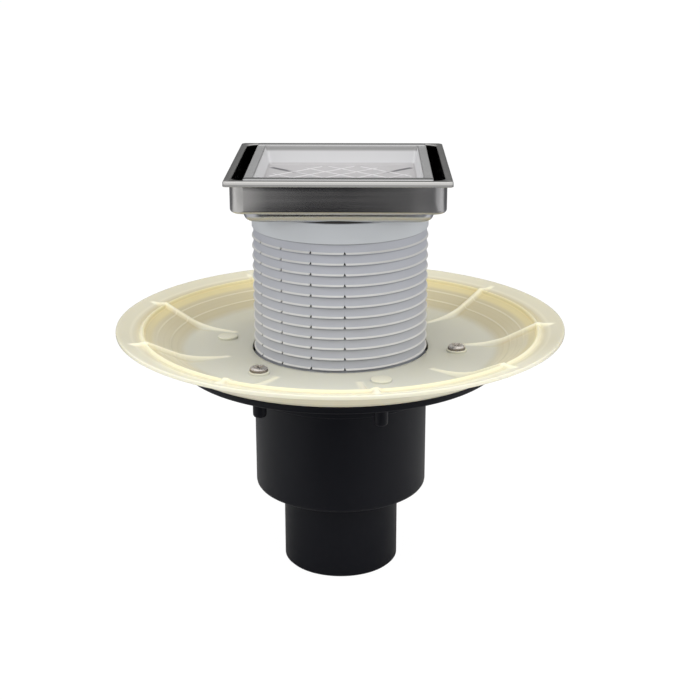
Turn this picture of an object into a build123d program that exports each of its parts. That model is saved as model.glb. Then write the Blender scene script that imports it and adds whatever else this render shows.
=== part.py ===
from build123d import *
import math
import os

# Floor drain with a vertical outlet and a height-adjustable neck, in millimetres.
# +Z is up, the pipe's axis is Z, and the origin is the centre of the outlet's lower end.
# Heights are given from one level to the next, so each piece is seated on the one below it.

os.makedirs("parts", exist_ok=True)

# Outlet spigot and pot of the trap body
outlet_d = 50.0
outlet_wall = 1.8
outlet_length = 36.0
outlet_chamfer = 1.0
pot_height = 43.5
pot_wall = 2.0
pot_floor = 2.2
pot_fall = 1.4
pot_fillet = 2.0
pot_ledge = 2.1
seat_height = 36.0
seat_thickness = 2.5

# Socket collar and disc flange of the trap body
socket_height = 12.9
socket_wall = 2.7
socket_floor = 2.2
socket_clearance = 0.3
disc_d = 137.2
disc_thickness = 3.0
disc_fillet = 0.8

# Screw bosses and clamping screws on one bolt circle
bolt_circle_r = 50.2
boss_count = 6
screw_count = 3
screw_angle = -10.0
boss_d = 5.6
boss_length = 12.7
boss_fillet = 2.0
screw_d = 3.9
screw_length = 14.0
screw_tip_room = 1.0
screw_fit = 0.05
screw_hole_clearance = 0.25
screw_head_d = 7.6
screw_head_height = 1.7
screw_head_fillet = 1.2
screw_cross_length = 4.2
screw_cross_width = 1.0
screw_cross_depth = 1.0

# Sealing gasket under the clamping flange
gasket_thickness = 1.2
gasket_inner_gap = 3.5
gasket_outer_inset = 6.7

# Clamping flange: flat floor, stepped dish wall, circular ridge, lip and radial ribs
flange_hole_gap = 0.3
flange_floor = 2.2
floor_edge_r = 67.0
under_edge_r = 71.5
wall_steps = 3
wall_step_height = 0.3
wall_rise = 8.0
ridge_r = 84.3
ridge_width = 2.0
ridge_height = 1.5
lip_width = 9.85
lip_step = 0.3
lip_rise = 2.5
lip_thickness = 1.6
rim_fillet = 0.6
rib_count = 9
rib_angle = 0.0
rib_thickness = 2.2
rib_height = 1.3
rib_inner_r = 49.0
rib_reach = 5.7
pad_d = 8.6
pad_height = 1.0

# Neck: plain spigot with a seal groove, shingled fins and a smooth collar
neck_d = 74.0
neck_length = 78.2
neck_wall = 2.35
neck_seat_gap = 0.3
spigot_relief = 0.1
spigot_length = 12.0
collar_height = 8.3
fin_pitch = 4.393
fin_depth = 0.85
fin_ledge = 0.45
fin_height = 0.75
fin_chamfer = 0.5
fin_drop = 11.85
notch_angle = -118.5
notch_step = 21.6
notch_columns = 4
notch_width = 1.3
notch_height = 1.25
notch_depth = 1.4
notch_overcut = 0.1
seal_groove_height = 2.5
seal_width = 2.4
seal_height = 2.6
seal_fit = 0.05
seal_chamfer = 0.4

# Pressed steel frame: rim, bowl and step
sheet = 0.9
rim_overhang = 2.0
rim_drop = 2.2
rim_corner_r = 1.6
rim_edge_fillet = 1.3
bowl_ledge = 4.45
bowl_depth = 12.65
bowl_corner_r = 6.0
bowl_fillet = 1.6
step_land = 2.35
step_depth = 4.8
step_corner_r = 7.0
step_fillet = 1.1
pan_gasket_thickness = 0.7
pan_gasket_width = 2.0
pan_gasket_inset = 0.2

# Threaded lock ring that holds the steel frame on the neck
lock_skirt_wall = 1.9
lock_skirt_length = 9.0
lock_skirt_room = 0.8
lock_depth_in_bore = 0.7
lock_fit = 0.1
lock_hole_clearance = 0.2
lock_flange_height = 2.4
lock_flange_gap = 0.3
lock_notch_count = 6
lock_notch_width = 5.0
lock_notch_depth = 1.4
lock_notch_wall = 0.6

# Tile tray: folded sheet with flat strips left and right and rolled edges front and back
tray_sheet = 0.8
slot_width = 4.5
tray_gap = 0.5
tray_drop = 0.15
tray_depth = 8.4
tray_strip = 3.8
tray_draft = 1.4
tray_corner_r = 1.5
tray_bead_r = 1.6
tray_bead_rise = 0.8
tray_hem = 3.0
tray_leg_room = 2.2
lattice_pitch = 9.5
lattice_lines = 7
lattice_width = 0.9
lattice_height = 0.35
lattice_r = 33.0
groove_start_r = 24.5
groove_end_r = 43.5
groove_width = 1.8
groove_depth = 0.4
foot_length = 8.0
foot_grip = 2.4
foot_wall = 1.3
foot_chamfer = 1.6
foot_x = 26.0

# Hair strainer and its knob
strainer_sheet = 0.8
strainer_seat_depth = 1.4
strainer_seat_width = 1.8
strainer_gap = 0.3
strainer_depth = 7.0
strainer_slope = 4.6
strainer_hole_d = 3.2
strainer_hole_pitch = 5.6
strainer_rings = 3
knob_d = 9.0
knob_stem_d = 4.0
knob_height = 10.5
knob_head_height = 3.0

# Trap cup, and the standpipe with its guide spider
lift_clearance = 0.6
cup_seal_thickness = 1.5
cup_seal_inset = 0.2
cup_rim = 2.8
cup_rim_thickness = 2.0
cup_wall = 1.6
cup_floor = 1.8
cup_foot_gap = 2.4
seat_overlap = 1.8
overflow_drop = 7.5
pipe_wall = 1.4
pipe_shoulder = 0.6
pipe_fit = 0.05
annulus_outer = 6.2
annulus_inner = 6.4
hub_d = 8.4
hub_height = 10.0
hub_drop = 6.0
spider_arms = 3
spider_thickness = 1.6
spider_height = 4.0

# Floating bell, its cap, seal and guide stem
bell_wall = 1.6
bell_foot_gap = 3.2
bell_web = 1.8
bell_chamber = 7.1
bell_seal_thickness = 1.8
bell_seal_gap = 0.3
bell_seal_lap = 1.6
cap_thickness = 1.8
cap_spigot = 1.5
cap_fit = 0.1
stem_d = 5.0
stem_slide_gap = 0.3
stem_flange_d = 12.0
stem_flange_height = 1.4
stem_tail = 2.5
stem_fit = 0.05
bell_travel = 8.0

# Bridge over the bell, which is also the trap's lifting handle
bridge_stop_gap = 0.5
bridge_thickness = 3.2
bridge_width = 10.0
bridge_leg = 3.0
bridge_inset = 0.5
bridge_foot = 3.0
bridge_tongue = 1.4
bridge_tongue_length = 5.0
bridge_fit = 0.2
handle_width = 30.0
handle_height = 11.0
handle_wall = 3.0
handle_fillet = 4.0

# Reach within which a face counts as lying at a level
pick_reach = 0.01

# Radii worked out from the neck inwards
neck_r = neck_d / 2
root_r = neck_r - fin_depth
neck_bore_r = root_r - neck_wall
socket_bore_r = neck_r + socket_clearance
socket_r = socket_bore_r + socket_wall
pot_bore_r = socket_bore_r - pot_ledge
pot_r = pot_bore_r + pot_wall
outlet_r = outlet_d / 2
outlet_bore_r = outlet_r - outlet_wall
lock_skirt_r = neck_bore_r + lock_depth_in_bore
lock_bore_r = lock_skirt_r - lock_skirt_wall
step_width = 2 * (lock_skirt_r + lock_hole_clearance + step_land + sheet)
bowl_width = step_width + 2 * bowl_ledge
rim_width = bowl_width + 2 * rim_overhang
cup_rim_r = lock_bore_r - lift_clearance
seat_bore_r = cup_rim_r - seat_overlap
cup_r = cup_rim_r - cup_rim
cup_bore_r = cup_r - cup_wall
bell_r = cup_bore_r - annulus_outer
bell_bore_r = bell_r - bell_wall
pipe_r = bell_bore_r - annulus_inner
pipe_bore_r = pipe_r - pipe_wall

# Levels worked out from the outlet's end upwards
shoulder_z = outlet_length
pot_floor_z = shoulder_z + pot_floor
pot_wall_foot_z = pot_floor_z + pot_fall
seat_z = shoulder_z + seat_height
socket_z = shoulder_z + pot_height
ledge_z = socket_z + socket_floor
disc_z = socket_z + socket_height
disc_top_z = disc_z + disc_thickness
flange_z = disc_top_z + gasket_thickness
floor_z = flange_z + flange_floor
pad_z = floor_z + pad_height
neck_z = ledge_z + neck_seat_gap
neck_top_z = neck_z + neck_length
step_z = neck_top_z + pan_gasket_thickness
bowl_z = step_z + step_depth
rim_z = bowl_z + bowl_depth
tray_top_z = rim_z - tray_drop
tray_floor_z = tray_top_z - tray_depth
cup_rim_z = seat_z + cup_seal_thickness
cup_top_z = cup_rim_z + cup_rim_thickness
cup_bottom_z = pot_wall_foot_z + cup_foot_gap
pipe_top_z = cup_top_z - overflow_drop
bell_z = cup_bottom_z + cup_floor + bell_foot_gap
web_z = pipe_top_z + bell_seal_gap + bell_seal_thickness
cap_z = web_z + bell_web + bell_chamber
bridge_z = cap_z + cap_thickness + bell_travel + bridge_stop_gap


def radial_plane(angle):
    """Upright plane through the pipe's axis: local x runs outwards, local y is up."""
    turn = math.radians(angle)
    outwards = (math.cos(turn), math.sin(turn), 0)
    across = (math.sin(turn), -math.cos(turn), 0)
    return Plane(origin=(0, 0, 0), x_dir=outwards, z_dir=across)


def facing_plane(angle, radius):
    """Upright plane that faces outwards at a radius: local y is up."""
    turn = math.radians(angle)
    outwards = (math.cos(turn), math.sin(turn), 0)
    along = (-math.sin(turn), math.cos(turn), 0)
    origin = (radius * math.cos(turn), radius * math.sin(turn), 0)
    return Plane(origin=origin, x_dir=along, z_dir=outwards)


def level_faces(piece, level):
    """The flat level faces of a piece at one height."""
    flat = piece.faces().filter_by(Axis.Z)
    return flat.filter_by_position(Axis.Z, level - pick_reach, level + pick_reach)


# Trap body: outlet, pot with the trap's seat, neck socket and disc flange in one moulding
with BuildPart() as trap_body:
    with BuildSketch(Plane.XZ):
        with BuildLine():
            Polyline(
                (outlet_bore_r, 0),
                (outlet_r - outlet_chamfer, 0),
                (outlet_r, outlet_chamfer),
                (outlet_r, shoulder_z),
                (pot_r - pot_fillet, shoulder_z),
            )
            RadiusArc((pot_r - pot_fillet, shoulder_z), (pot_r, shoulder_z + pot_fillet), -pot_fillet)
            Polyline(
                (pot_r, shoulder_z + pot_fillet),
                (pot_r, socket_z),
                (socket_r, socket_z),
                (socket_r, disc_z),
                (disc_d / 2 - disc_fillet, disc_z),
                (disc_d / 2, disc_z + disc_fillet),
                (disc_d / 2, disc_top_z),
                (socket_bore_r, disc_top_z),
                (socket_bore_r, ledge_z),
                (pot_bore_r, ledge_z),
                (pot_bore_r, seat_z),
                (seat_bore_r, seat_z),
                (seat_bore_r, seat_z - seat_thickness),
                (pot_bore_r, seat_z - seat_thickness - (pot_bore_r - seat_bore_r) / 2),
                (pot_bore_r, pot_wall_foot_z),
                (outlet_bore_r, pot_floor_z),
                (outlet_bore_r, 0),
            )
        make_face()
    revolve(axis=Axis.Z)
    with BuildSketch(Plane.XY.offset(disc_z)):
        with PolarLocations(bolt_circle_r, boss_count, start_angle=screw_angle):
            Circle(boss_d / 2)
    extrude(amount=-boss_length)
    fillet(level_faces(trap_body, disc_z - boss_length).edges(), boss_fillet)
    with BuildSketch(Plane.XY.offset(disc_top_z)):
        with PolarLocations(bolt_circle_r, screw_count, start_angle=screw_angle):
            Circle(screw_d / 2 + screw_fit)
    extrude(amount=pad_z - screw_length - screw_tip_room - disc_top_z, mode=Mode.SUBTRACT)
trap_body.part.label = "trap_body"
export_step(trap_body.part, "parts/trap_body.step")

# Gasket ring clamped between the disc and the flange
with BuildPart() as flange_gasket:
    with BuildSketch(Plane.XY.offset(disc_top_z)):
        Circle(disc_d / 2 - gasket_outer_inset)
        Circle(socket_bore_r + gasket_inner_gap, mode=Mode.SUBTRACT)
        with PolarLocations(bolt_circle_r, screw_count, start_angle=screw_angle):
            Circle(screw_d / 2 + screw_hole_clearance, mode=Mode.SUBTRACT)
    extrude(amount=gasket_thickness)
flange_gasket.part.label = "flange_gasket"
export_step(flange_gasket.part, "parts/flange_gasket.step")

# Clamping flange: the dish wall climbs in shallow steps from the floor to the ridge
ridge_in_r = ridge_r - ridge_width / 2
ridge_out_r = ridge_r + ridge_width / 2
wall_top_z = floor_z + wall_rise
lip_z = wall_top_z + lip_step
ridge_top_z = wall_top_z + ridge_height
flange_d = 2 * (ridge_out_r + lip_width)
rim_r = flange_d / 2
rib_outer_r = ridge_out_r + rib_reach
flange_rim_z = lip_z + lip_rise
step_run = (ridge_in_r - floor_edge_r) / wall_steps
wall_points = []
for step in range(wall_steps):
    foot_r = floor_edge_r + step * step_run
    foot_level = floor_z + step * wall_rise / wall_steps
    wall_points.append((foot_r, foot_level))
    wall_points.append((foot_r + wall_step_height / 2, foot_level + wall_step_height))
wall_points.append((ridge_in_r, wall_top_z))
rib_planes = [radial_plane(rib_angle + 360 / rib_count * rib) for rib in range(rib_count)]

with BuildPart() as clamp_flange:
    with BuildSketch(Plane.XZ):
        with BuildLine():
            Polyline(
                (socket_bore_r + flange_hole_gap, flange_z),
                (socket_bore_r + flange_hole_gap, floor_z),
                *wall_points,
                (ridge_in_r, ridge_top_z),
                (ridge_out_r, ridge_top_z),
                (ridge_out_r, lip_z),
                (rim_r - rim_fillet, flange_rim_z),
                (rim_r, flange_rim_z - rim_fillet),
                (rim_r, flange_rim_z - lip_thickness),
                (ridge_out_r + lip_thickness / 2, lip_z - lip_thickness),
                (under_edge_r, flange_z),
                (socket_bore_r + flange_hole_gap, flange_z),
            )
        make_face()
    revolve(axis=Axis.Z)
    with BuildSketch(*rib_planes):
        with BuildLine():
            Polyline(
                (rib_inner_r, floor_z),
                (floor_edge_r, floor_z + rib_height),
                (ridge_in_r, ridge_top_z + rib_height / 2),
                (ridge_out_r, ridge_top_z + rib_height / 2),
                (rib_outer_r, flange_rim_z - (rim_r - rib_outer_r) * lip_rise / (rim_r - ridge_out_r)),
                (ridge_out_r, lip_z - lip_thickness / 2),
                (floor_edge_r + flange_floor, flange_z + flange_floor / 2),
                (rib_inner_r, flange_z + flange_floor / 2),
                (rib_inner_r, floor_z),
            )
        make_face()
    extrude(amount=rib_thickness / 2, both=True)
    with BuildSketch(Plane.XY.offset(floor_z)):
        with PolarLocations(bolt_circle_r, boss_count, start_angle=screw_angle):
            Circle(pad_d / 2)
    extrude(amount=pad_height)
    with BuildSketch(Plane.XY.offset(flange_z)):
        with PolarLocations(bolt_circle_r, screw_count, start_angle=screw_angle):
            Circle(screw_d / 2 + screw_hole_clearance)
    extrude(amount=flange_floor + pad_height, mode=Mode.SUBTRACT)
clamp_flange.part.label = "clamp_flange"
export_step(clamp_flange.part, "parts/clamp_flange.step")

# Pan-head screws with a cross recess
with BuildPart() as clamp_screws:
    with BuildSketch(Plane.XY.offset(pad_z)):
        with PolarLocations(bolt_circle_r, screw_count, start_angle=screw_angle):
            Circle(screw_head_d / 2)
    extrude(amount=screw_head_height)
    fillet(level_faces(clamp_screws, pad_z + screw_head_height).edges(), screw_head_fillet)
    with BuildSketch(Plane.XY.offset(pad_z)):
        with PolarLocations(bolt_circle_r, screw_count, start_angle=screw_angle):
            Circle(screw_d / 2)
    extrude(amount=-screw_length)
    with BuildSketch(Plane.XY.offset(pad_z + screw_head_height)):
        with PolarLocations(bolt_circle_r, screw_count, start_angle=screw_angle):
            Rectangle(screw_cross_length, screw_cross_width)
            Rectangle(screw_cross_width, screw_cross_length)
    extrude(amount=-screw_cross_depth, mode=Mode.SUBTRACT)
clamp_screws.part.label = "clamp_screws"
export_step(clamp_screws.part, "parts/clamp_screws.step")

# Neck: each fin is the flared lower edge of a band, with a sharp step under it
spigot_r = neck_r - spigot_relief
spigot_top_z = neck_z + spigot_length
top_fin_z = neck_top_z - fin_drop
collar_z = neck_top_z - collar_height
fin_count = int((top_fin_z - fin_height - spigot_top_z) / fin_pitch) + 1
fin_levels = [top_fin_z - fin * fin_pitch for fin in range(fin_count)]
seal_inner_r = socket_bore_r - seal_fit - seal_width
seal_z = neck_z + seal_groove_height
fin_points = []
for level in reversed(fin_levels):
    fin_points += [
        (root_r, level - fin_height),
        (neck_r, level - fin_height),
        (neck_r, level - fin_chamfer),
        (neck_r - fin_ledge, level),
    ]
first_column = notch_angle - notch_step * (notch_columns - 1) / 2
notch_planes = []
for column in range(notch_columns):
    for side in (0, 180):
        notch_planes.append(facing_plane(first_column + notch_step * column + side, neck_r + fin_depth))

with BuildPart() as neck:
    with BuildSketch(Plane.XZ):
        with BuildLine():
            Polyline(
                (neck_bore_r, neck_z),
                (spigot_r, neck_z),
                (spigot_r, seal_z - seal_fit),
                (seal_inner_r - seal_fit, seal_z - seal_fit),
                (seal_inner_r - seal_fit, seal_z + seal_height + seal_fit),
                (spigot_r, seal_z + seal_height + seal_fit),
                (spigot_r, spigot_top_z),
                (root_r, spigot_top_z),
                *fin_points,
                (root_r, collar_z),
                (neck_r, collar_z),
                (neck_r, neck_top_z),
                (lock_skirt_r + lock_fit, neck_top_z),
                (lock_skirt_r + lock_fit, neck_top_z - lock_skirt_length - lock_skirt_room),
                (neck_bore_r, neck_top_z - lock_skirt_length - lock_skirt_room),
                (neck_bore_r, neck_z),
            )
        make_face()
    revolve(axis=Axis.Z)
    with BuildSketch(*notch_planes):
        with Locations([(0, level - fin_height) for level in fin_levels]):
            with BuildLine():
                Polyline(
                    (-notch_width / 2, -notch_overcut),
                    (notch_width / 2, -notch_overcut),
                    (0, notch_height),
                    (-notch_width / 2, -notch_overcut),
                )
            make_face()
    extrude(amount=-fin_depth - notch_depth, mode=Mode.SUBTRACT)
neck.part.label = "neck"
export_step(neck.part, "parts/neck.step")

# Square-section sealing ring in the neck's groove
with BuildPart() as neck_seal:
    with BuildSketch(Plane.XZ):
        with Locations((seal_inner_r + seal_width / 2, seal_z + seal_height / 2)):
            Rectangle(seal_width, seal_height)
    revolve(axis=Axis.Z)
    chamfer(neck_seal.edges().filter_by(GeomType.CIRCLE), seal_chamfer)
neck_seal.part.label = "neck_seal"
export_step(neck_seal.part, "parts/neck_seal.step")

# Steel frame: rim folded down at its edge, bowl and step pressed in one sheet
with BuildPart() as frame_pan:
    with BuildSketch(Plane.XY.offset(rim_z)):
        RectangleRounded(rim_width, rim_width, rim_corner_r)
    extrude(amount=-rim_drop)
    fillet(frame_pan.faces().sort_by(Axis.Z)[-1].edges(), rim_edge_fillet)
    with BuildSketch(Plane.XY.offset(rim_z - rim_drop)):
        RectangleRounded(rim_width - 2 * sheet, rim_width - 2 * sheet, rim_corner_r - sheet)
    extrude(amount=rim_drop - sheet, mode=Mode.SUBTRACT)
    with BuildSketch(Plane.XY.offset(bowl_z)):
        RectangleRounded(bowl_width, bowl_width, bowl_corner_r)
    extrude(amount=bowl_depth - sheet / 2)
    fillet(frame_pan.faces().sort_by(Axis.Z)[0].edges(), bowl_fillet)
    with BuildSketch(Plane.XY.offset(step_z)):
        RectangleRounded(step_width, step_width, step_corner_r)
    extrude(amount=step_depth)
    fillet(frame_pan.faces().sort_by(Axis.Z)[0].edges(), step_fillet)
    with BuildSketch(Plane.XY.offset(bowl_z + sheet)):
        RectangleRounded(bowl_width - 2 * sheet, bowl_width - 2 * sheet, bowl_corner_r - sheet)
    extrude(amount=bowl_depth, mode=Mode.SUBTRACT)
    fillet(level_faces(frame_pan, bowl_z + sheet).edges(), bowl_fillet - sheet)
    with BuildSketch(Plane.XY.offset(step_z + sheet)):
        RectangleRounded(step_width - 2 * sheet, step_width - 2 * sheet, step_corner_r - sheet)
    extrude(amount=step_depth, mode=Mode.SUBTRACT)
    with BuildSketch(Plane.XY.offset(step_z)):
        Circle(lock_skirt_r + lock_hole_clearance)
    extrude(amount=sheet, mode=Mode.SUBTRACT)
frame_pan.part.label = "frame_pan"
export_step(frame_pan.part, "parts/frame_pan.step")

# Gasket between the neck's collar and the steel frame
with BuildPart() as pan_gasket:
    with BuildSketch(Plane.XY.offset(neck_top_z)):
        Circle(neck_r - pan_gasket_inset)
        Circle(neck_r - pan_gasket_inset - pan_gasket_width, mode=Mode.SUBTRACT)
    extrude(amount=pan_gasket_thickness)
pan_gasket.part.label = "pan_gasket"
export_step(pan_gasket.part, "parts/pan_gasket.step")

# Lock ring, screwed into the neck's bore, with notches for a key and a seat for the strainer
lock_z = step_z + sheet
lock_top_z = lock_z + lock_flange_height
lock_flange_r = step_width / 2 - sheet - lock_flange_gap
strainer_seat_r = lock_bore_r + strainer_seat_width

with BuildPart() as lock_ring:
    with BuildSketch(Plane.XZ):
        with BuildLine():
            Polyline(
                (lock_bore_r, neck_top_z - lock_skirt_length),
                (lock_skirt_r, neck_top_z - lock_skirt_length),
                (lock_skirt_r, lock_z),
                (lock_flange_r, lock_z),
                (lock_flange_r, lock_top_z),
                (strainer_seat_r, lock_top_z),
                (strainer_seat_r, lock_top_z - strainer_seat_depth),
                (lock_bore_r, lock_top_z - strainer_seat_depth),
                (lock_bore_r, neck_top_z - lock_skirt_length),
            )
        make_face()
    revolve(axis=Axis.Z)
    with BuildSketch(Plane.XY.offset(lock_top_z)):
        with PolarLocations(lock_flange_r, lock_notch_count):
            Rectangle(2 * (lock_flange_r - strainer_seat_r - lock_notch_wall), lock_notch_width)
    extrude(amount=-lock_notch_depth, mode=Mode.SUBTRACT)
lock_ring.part.label = "lock_ring"
export_step(lock_ring.part, "parts/lock_ring.step")

# Tile tray: tub with sloping walls, flat side strips with a hem, rolled front and back edges
bowl_half = bowl_width / 2 - sheet
tray_half_x = bowl_half - slot_width
tray_half_y = bowl_half - tray_gap
recess_half_x = tray_half_x - tray_strip
recess_half_y = tray_half_y - 2 * tray_bead_r
bead_z = tray_top_z + tray_bead_rise - tray_bead_r
bead_y = tray_half_y - tray_bead_r
leg_z = bowl_z + sheet + tray_leg_room
lattice_offsets = [(line - (lattice_lines - 1) / 2) * lattice_pitch for line in range(lattice_lines)]

with BuildPart() as tile_tray:
    with BuildSketch(Plane.XY.offset(tray_floor_z - tray_sheet)):
        RectangleRounded(
            2 * (recess_half_x - tray_draft + tray_sheet),
            2 * (recess_half_y - tray_draft + tray_sheet),
            tray_corner_r + tray_sheet,
        )
    with BuildSketch(Plane.XY.offset(bead_z)):
        RectangleRounded(
            2 * (recess_half_x + tray_sheet),
            2 * (recess_half_y + tray_sheet),
            tray_corner_r + tray_sheet,
        )
    loft()
    with BuildSketch(Plane.XY.offset(tray_top_z)):
        Rectangle(2 * tray_half_x, 2 * bead_y)
    extrude(amount=bead_z - tray_top_z)
    with BuildSketch(Plane.XY.offset(tray_top_z)):
        with Locations((tray_half_x - tray_sheet / 2, 0), (tray_sheet / 2 - tray_half_x, 0)):
            Rectangle(tray_sheet, 2 * bead_y)
    extrude(amount=-tray_hem)
    with BuildSketch(Plane.XY.offset(tray_floor_z)):
        RectangleRounded(
            2 * (recess_half_x - tray_draft), 2 * (recess_half_y - tray_draft), tray_corner_r
        )
    with BuildSketch(Plane.XY.offset(bead_z)):
        RectangleRounded(2 * recess_half_x, 2 * recess_half_y, tray_corner_r)
    loft(mode=Mode.SUBTRACT)
    with BuildSketch(Plane.XY.offset(bead_z)):
        RectangleRounded(2 * recess_half_x, 2 * recess_half_y, tray_corner_r)
    extrude(amount=tray_top_z - bead_z, mode=Mode.SUBTRACT)
    with BuildSketch(Plane.YZ):
        with Locations((bead_y, bead_z), (-bead_y, bead_z)):
            Circle(tray_bead_r)
            Circle(tray_bead_r - tray_sheet, mode=Mode.SUBTRACT)
            Rectangle(
                2 * tray_bead_r, tray_bead_r, align=(Align.CENTER, Align.MAX), mode=Mode.SUBTRACT
            )
        with Locations((tray_half_y - tray_sheet / 2, bead_z), (tray_sheet / 2 - tray_half_y, bead_z)):
            Rectangle(tray_sheet, bead_z - leg_z, align=(Align.CENTER, Align.MAX))
    extrude(amount=tray_half_x, both=True)
    with BuildSketch(Plane.XY.offset(tray_floor_z)):
        for turn in (45, -45):
            with PolarLocations(0, 1, start_angle=turn):
                with Locations([(0, offset_y) for offset_y in lattice_offsets]):
                    Rectangle(2 * lattice_r, lattice_width)
        Circle(lattice_r, mode=Mode.INTERSECT)
        Rectangle(
            2 * (recess_half_x - tray_draft - tray_corner_r),
            2 * (recess_half_y - tray_draft - tray_corner_r),
            mode=Mode.INTERSECT,
        )
    extrude(amount=lattice_height)
    with BuildSketch(Plane.XY.offset(tray_floor_z + lattice_height)):
        with PolarLocations((groove_start_r + groove_end_r) / 2, 4, start_angle=45):
            SlotOverall(groove_end_r - groove_start_r, groove_width)
    extrude(amount=-lattice_height - groove_depth, mode=Mode.SUBTRACT)
tile_tray.part.label = "tile_tray"
export_step(tile_tray.part, "parts/tile_tray.step")

# Feet: slotted pads pushed onto the tray's folded legs
foot_height = tray_leg_room + foot_grip

with BuildPart() as tray_feet:
    with BuildSketch(Plane.XY.offset(bowl_z + sheet)):
        with GridLocations(2 * foot_x, 2 * (tray_half_y - tray_sheet - foot_wall / 2), 2, 2):
            Rectangle(foot_length, foot_wall + 2 * tray_sheet)
    extrude(amount=foot_height)
    sole_edges = level_faces(tray_feet, bowl_z + sheet).edges().filter_by(Axis.X).sort_by(Axis.Y)
    chamfer(sole_edges[:2] + sole_edges[-2:], foot_chamfer)
    with BuildSketch(Plane.XY.offset(leg_z)):
        with Locations((0, tray_half_y - tray_sheet / 2), (0, tray_sheet / 2 - tray_half_y)):
            Rectangle(2 * tray_half_x, tray_sheet)
    extrude(amount=foot_height, mode=Mode.SUBTRACT)
tray_feet.part.label = "tray_feet"
export_step(tray_feet.part, "parts/tray_feet.step")

# Hair strainer: dished perforated plate that rests in the lock ring's seat
strainer_z = lock_top_z - strainer_seat_depth
strainer_r = strainer_seat_r - strainer_gap
dish_r = lock_bore_r - strainer_gap
dish_floor_z = strainer_z - strainer_depth + strainer_sheet
dish_floor_r = dish_r - strainer_slope

with BuildPart() as hair_strainer:
    with BuildSketch(Plane.XZ):
        with BuildLine():
            Polyline(
                (0, dish_floor_z),
                (dish_floor_r, dish_floor_z),
                (dish_r - strainer_sheet, strainer_z + strainer_sheet),
                (strainer_r, strainer_z + strainer_sheet),
                (strainer_r, strainer_z),
                (dish_r, strainer_z),
                (dish_floor_r + strainer_sheet / 2, dish_floor_z - strainer_sheet),
                (0, dish_floor_z - strainer_sheet),
                (0, dish_floor_z),
            )
        make_face()
    revolve(axis=Axis.Z)
    with BuildSketch(Plane.XY.offset(dish_floor_z)):
        for ring in range(1, strainer_rings + 1):
            with PolarLocations((ring + 0.5) * strainer_hole_pitch, 6 * (ring + 1)):
                Circle(strainer_hole_d / 2)
        Circle(knob_stem_d / 2)
    extrude(amount=-strainer_sheet, mode=Mode.SUBTRACT)
hair_strainer.part.label = "hair_strainer"
export_step(hair_strainer.part, "parts/hair_strainer.step")

# Knob riveted through the strainer's centre
with BuildPart() as strainer_knob:
    with BuildSketch(Plane.XZ):
        with BuildLine():
            Polyline(
                (0, dish_floor_z - 2 * strainer_sheet),
                (knob_d / 3, dish_floor_z - 2 * strainer_sheet),
                (knob_d / 3, dish_floor_z - strainer_sheet),
                (knob_stem_d / 2, dish_floor_z - strainer_sheet),
                (knob_stem_d / 2, dish_floor_z),
                (knob_d / 3, dish_floor_z),
                (knob_stem_d / 2, dish_floor_z + knob_d / 3),
                (knob_stem_d / 2, dish_floor_z + knob_height - knob_head_height),
                (knob_d / 2, dish_floor_z + knob_height - knob_head_height),
                (knob_d / 2, dish_floor_z + knob_height),
                (0, dish_floor_z + knob_height),
                (0, dish_floor_z - 2 * strainer_sheet),
            )
        make_face()
    revolve(axis=Axis.Z)
    fillet(strainer_knob.faces().sort_by(Axis.Z)[-1].edges(), knob_head_height / 3)
strainer_knob.part.label = "strainer_knob"
export_step(strainer_knob.part, "parts/strainer_knob.step")

# Flat seal between the trap cup's rim and the pot's seat
with BuildPart() as cup_seal:
    with BuildSketch(Plane.XY.offset(seat_z)):
        Circle(cup_rim_r)
        Circle(seat_bore_r + cup_seal_inset, mode=Mode.SUBTRACT)
    extrude(amount=cup_seal_thickness)
cup_seal.part.label = "cup_seal"
export_step(cup_seal.part, "parts/cup_seal.step")

# Trap cup: holds the sealing water, with a hole in its floor for the standpipe
cup_floor_z = cup_bottom_z + cup_floor
pipe_spigot_r = pipe_r - pipe_shoulder

with BuildPart() as trap_cup:
    with BuildSketch(Plane.XZ):
        with BuildLine():
            Polyline(
                (pipe_spigot_r + pipe_fit, cup_bottom_z),
                (cup_r, cup_bottom_z),
                (cup_r, cup_rim_z),
                (cup_rim_r, cup_rim_z),
                (cup_rim_r, cup_top_z),
                (cup_bore_r, cup_top_z),
                (cup_bore_r, cup_floor_z),
                (pipe_spigot_r + pipe_fit, cup_floor_z),
                (pipe_spigot_r + pipe_fit, cup_bottom_z),
            )
        make_face()
    revolve(axis=Axis.Z)
trap_cup.part.label = "trap_cup"
export_step(trap_cup.part, "parts/trap_cup.step")

# Overflow standpipe, pressed into the cup's floor, with a guide hub on a spider
hub_top_z = pipe_top_z - hub_drop
hub_z = hub_top_z - hub_height
guide_bore_r = stem_d / 2 + stem_slide_gap
spider_planes = [radial_plane(360 / spider_arms * arm) for arm in range(spider_arms)]

with BuildPart() as standpipe:
    with BuildSketch(Plane.XZ):
        with BuildLine():
            Polyline(
                (pipe_bore_r, cup_bottom_z),
                (pipe_spigot_r, cup_bottom_z),
                (pipe_spigot_r, cup_floor_z),
                (pipe_r, cup_floor_z),
                (pipe_r, pipe_top_z),
                (pipe_bore_r, pipe_top_z),
                (pipe_bore_r, cup_bottom_z),
            )
        make_face()
    revolve(axis=Axis.Z)
    with BuildSketch(Plane.XY.offset(hub_z)):
        Circle(hub_d / 2)
    extrude(amount=hub_height)
    with BuildSketch(*spider_planes):
        with Locations(((pipe_bore_r + pipe_r) / 4, hub_z + hub_height / 2)):
            Rectangle((pipe_bore_r + pipe_r) / 2, spider_height)
    extrude(amount=spider_thickness / 2, both=True)
    with BuildSketch(Plane.XY.offset(hub_z)):
        Circle(guide_bore_r)
    extrude(amount=hub_height, mode=Mode.SUBTRACT)
standpipe.part.label = "standpipe"
export_step(standpipe.part, "parts/standpipe.step")

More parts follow.
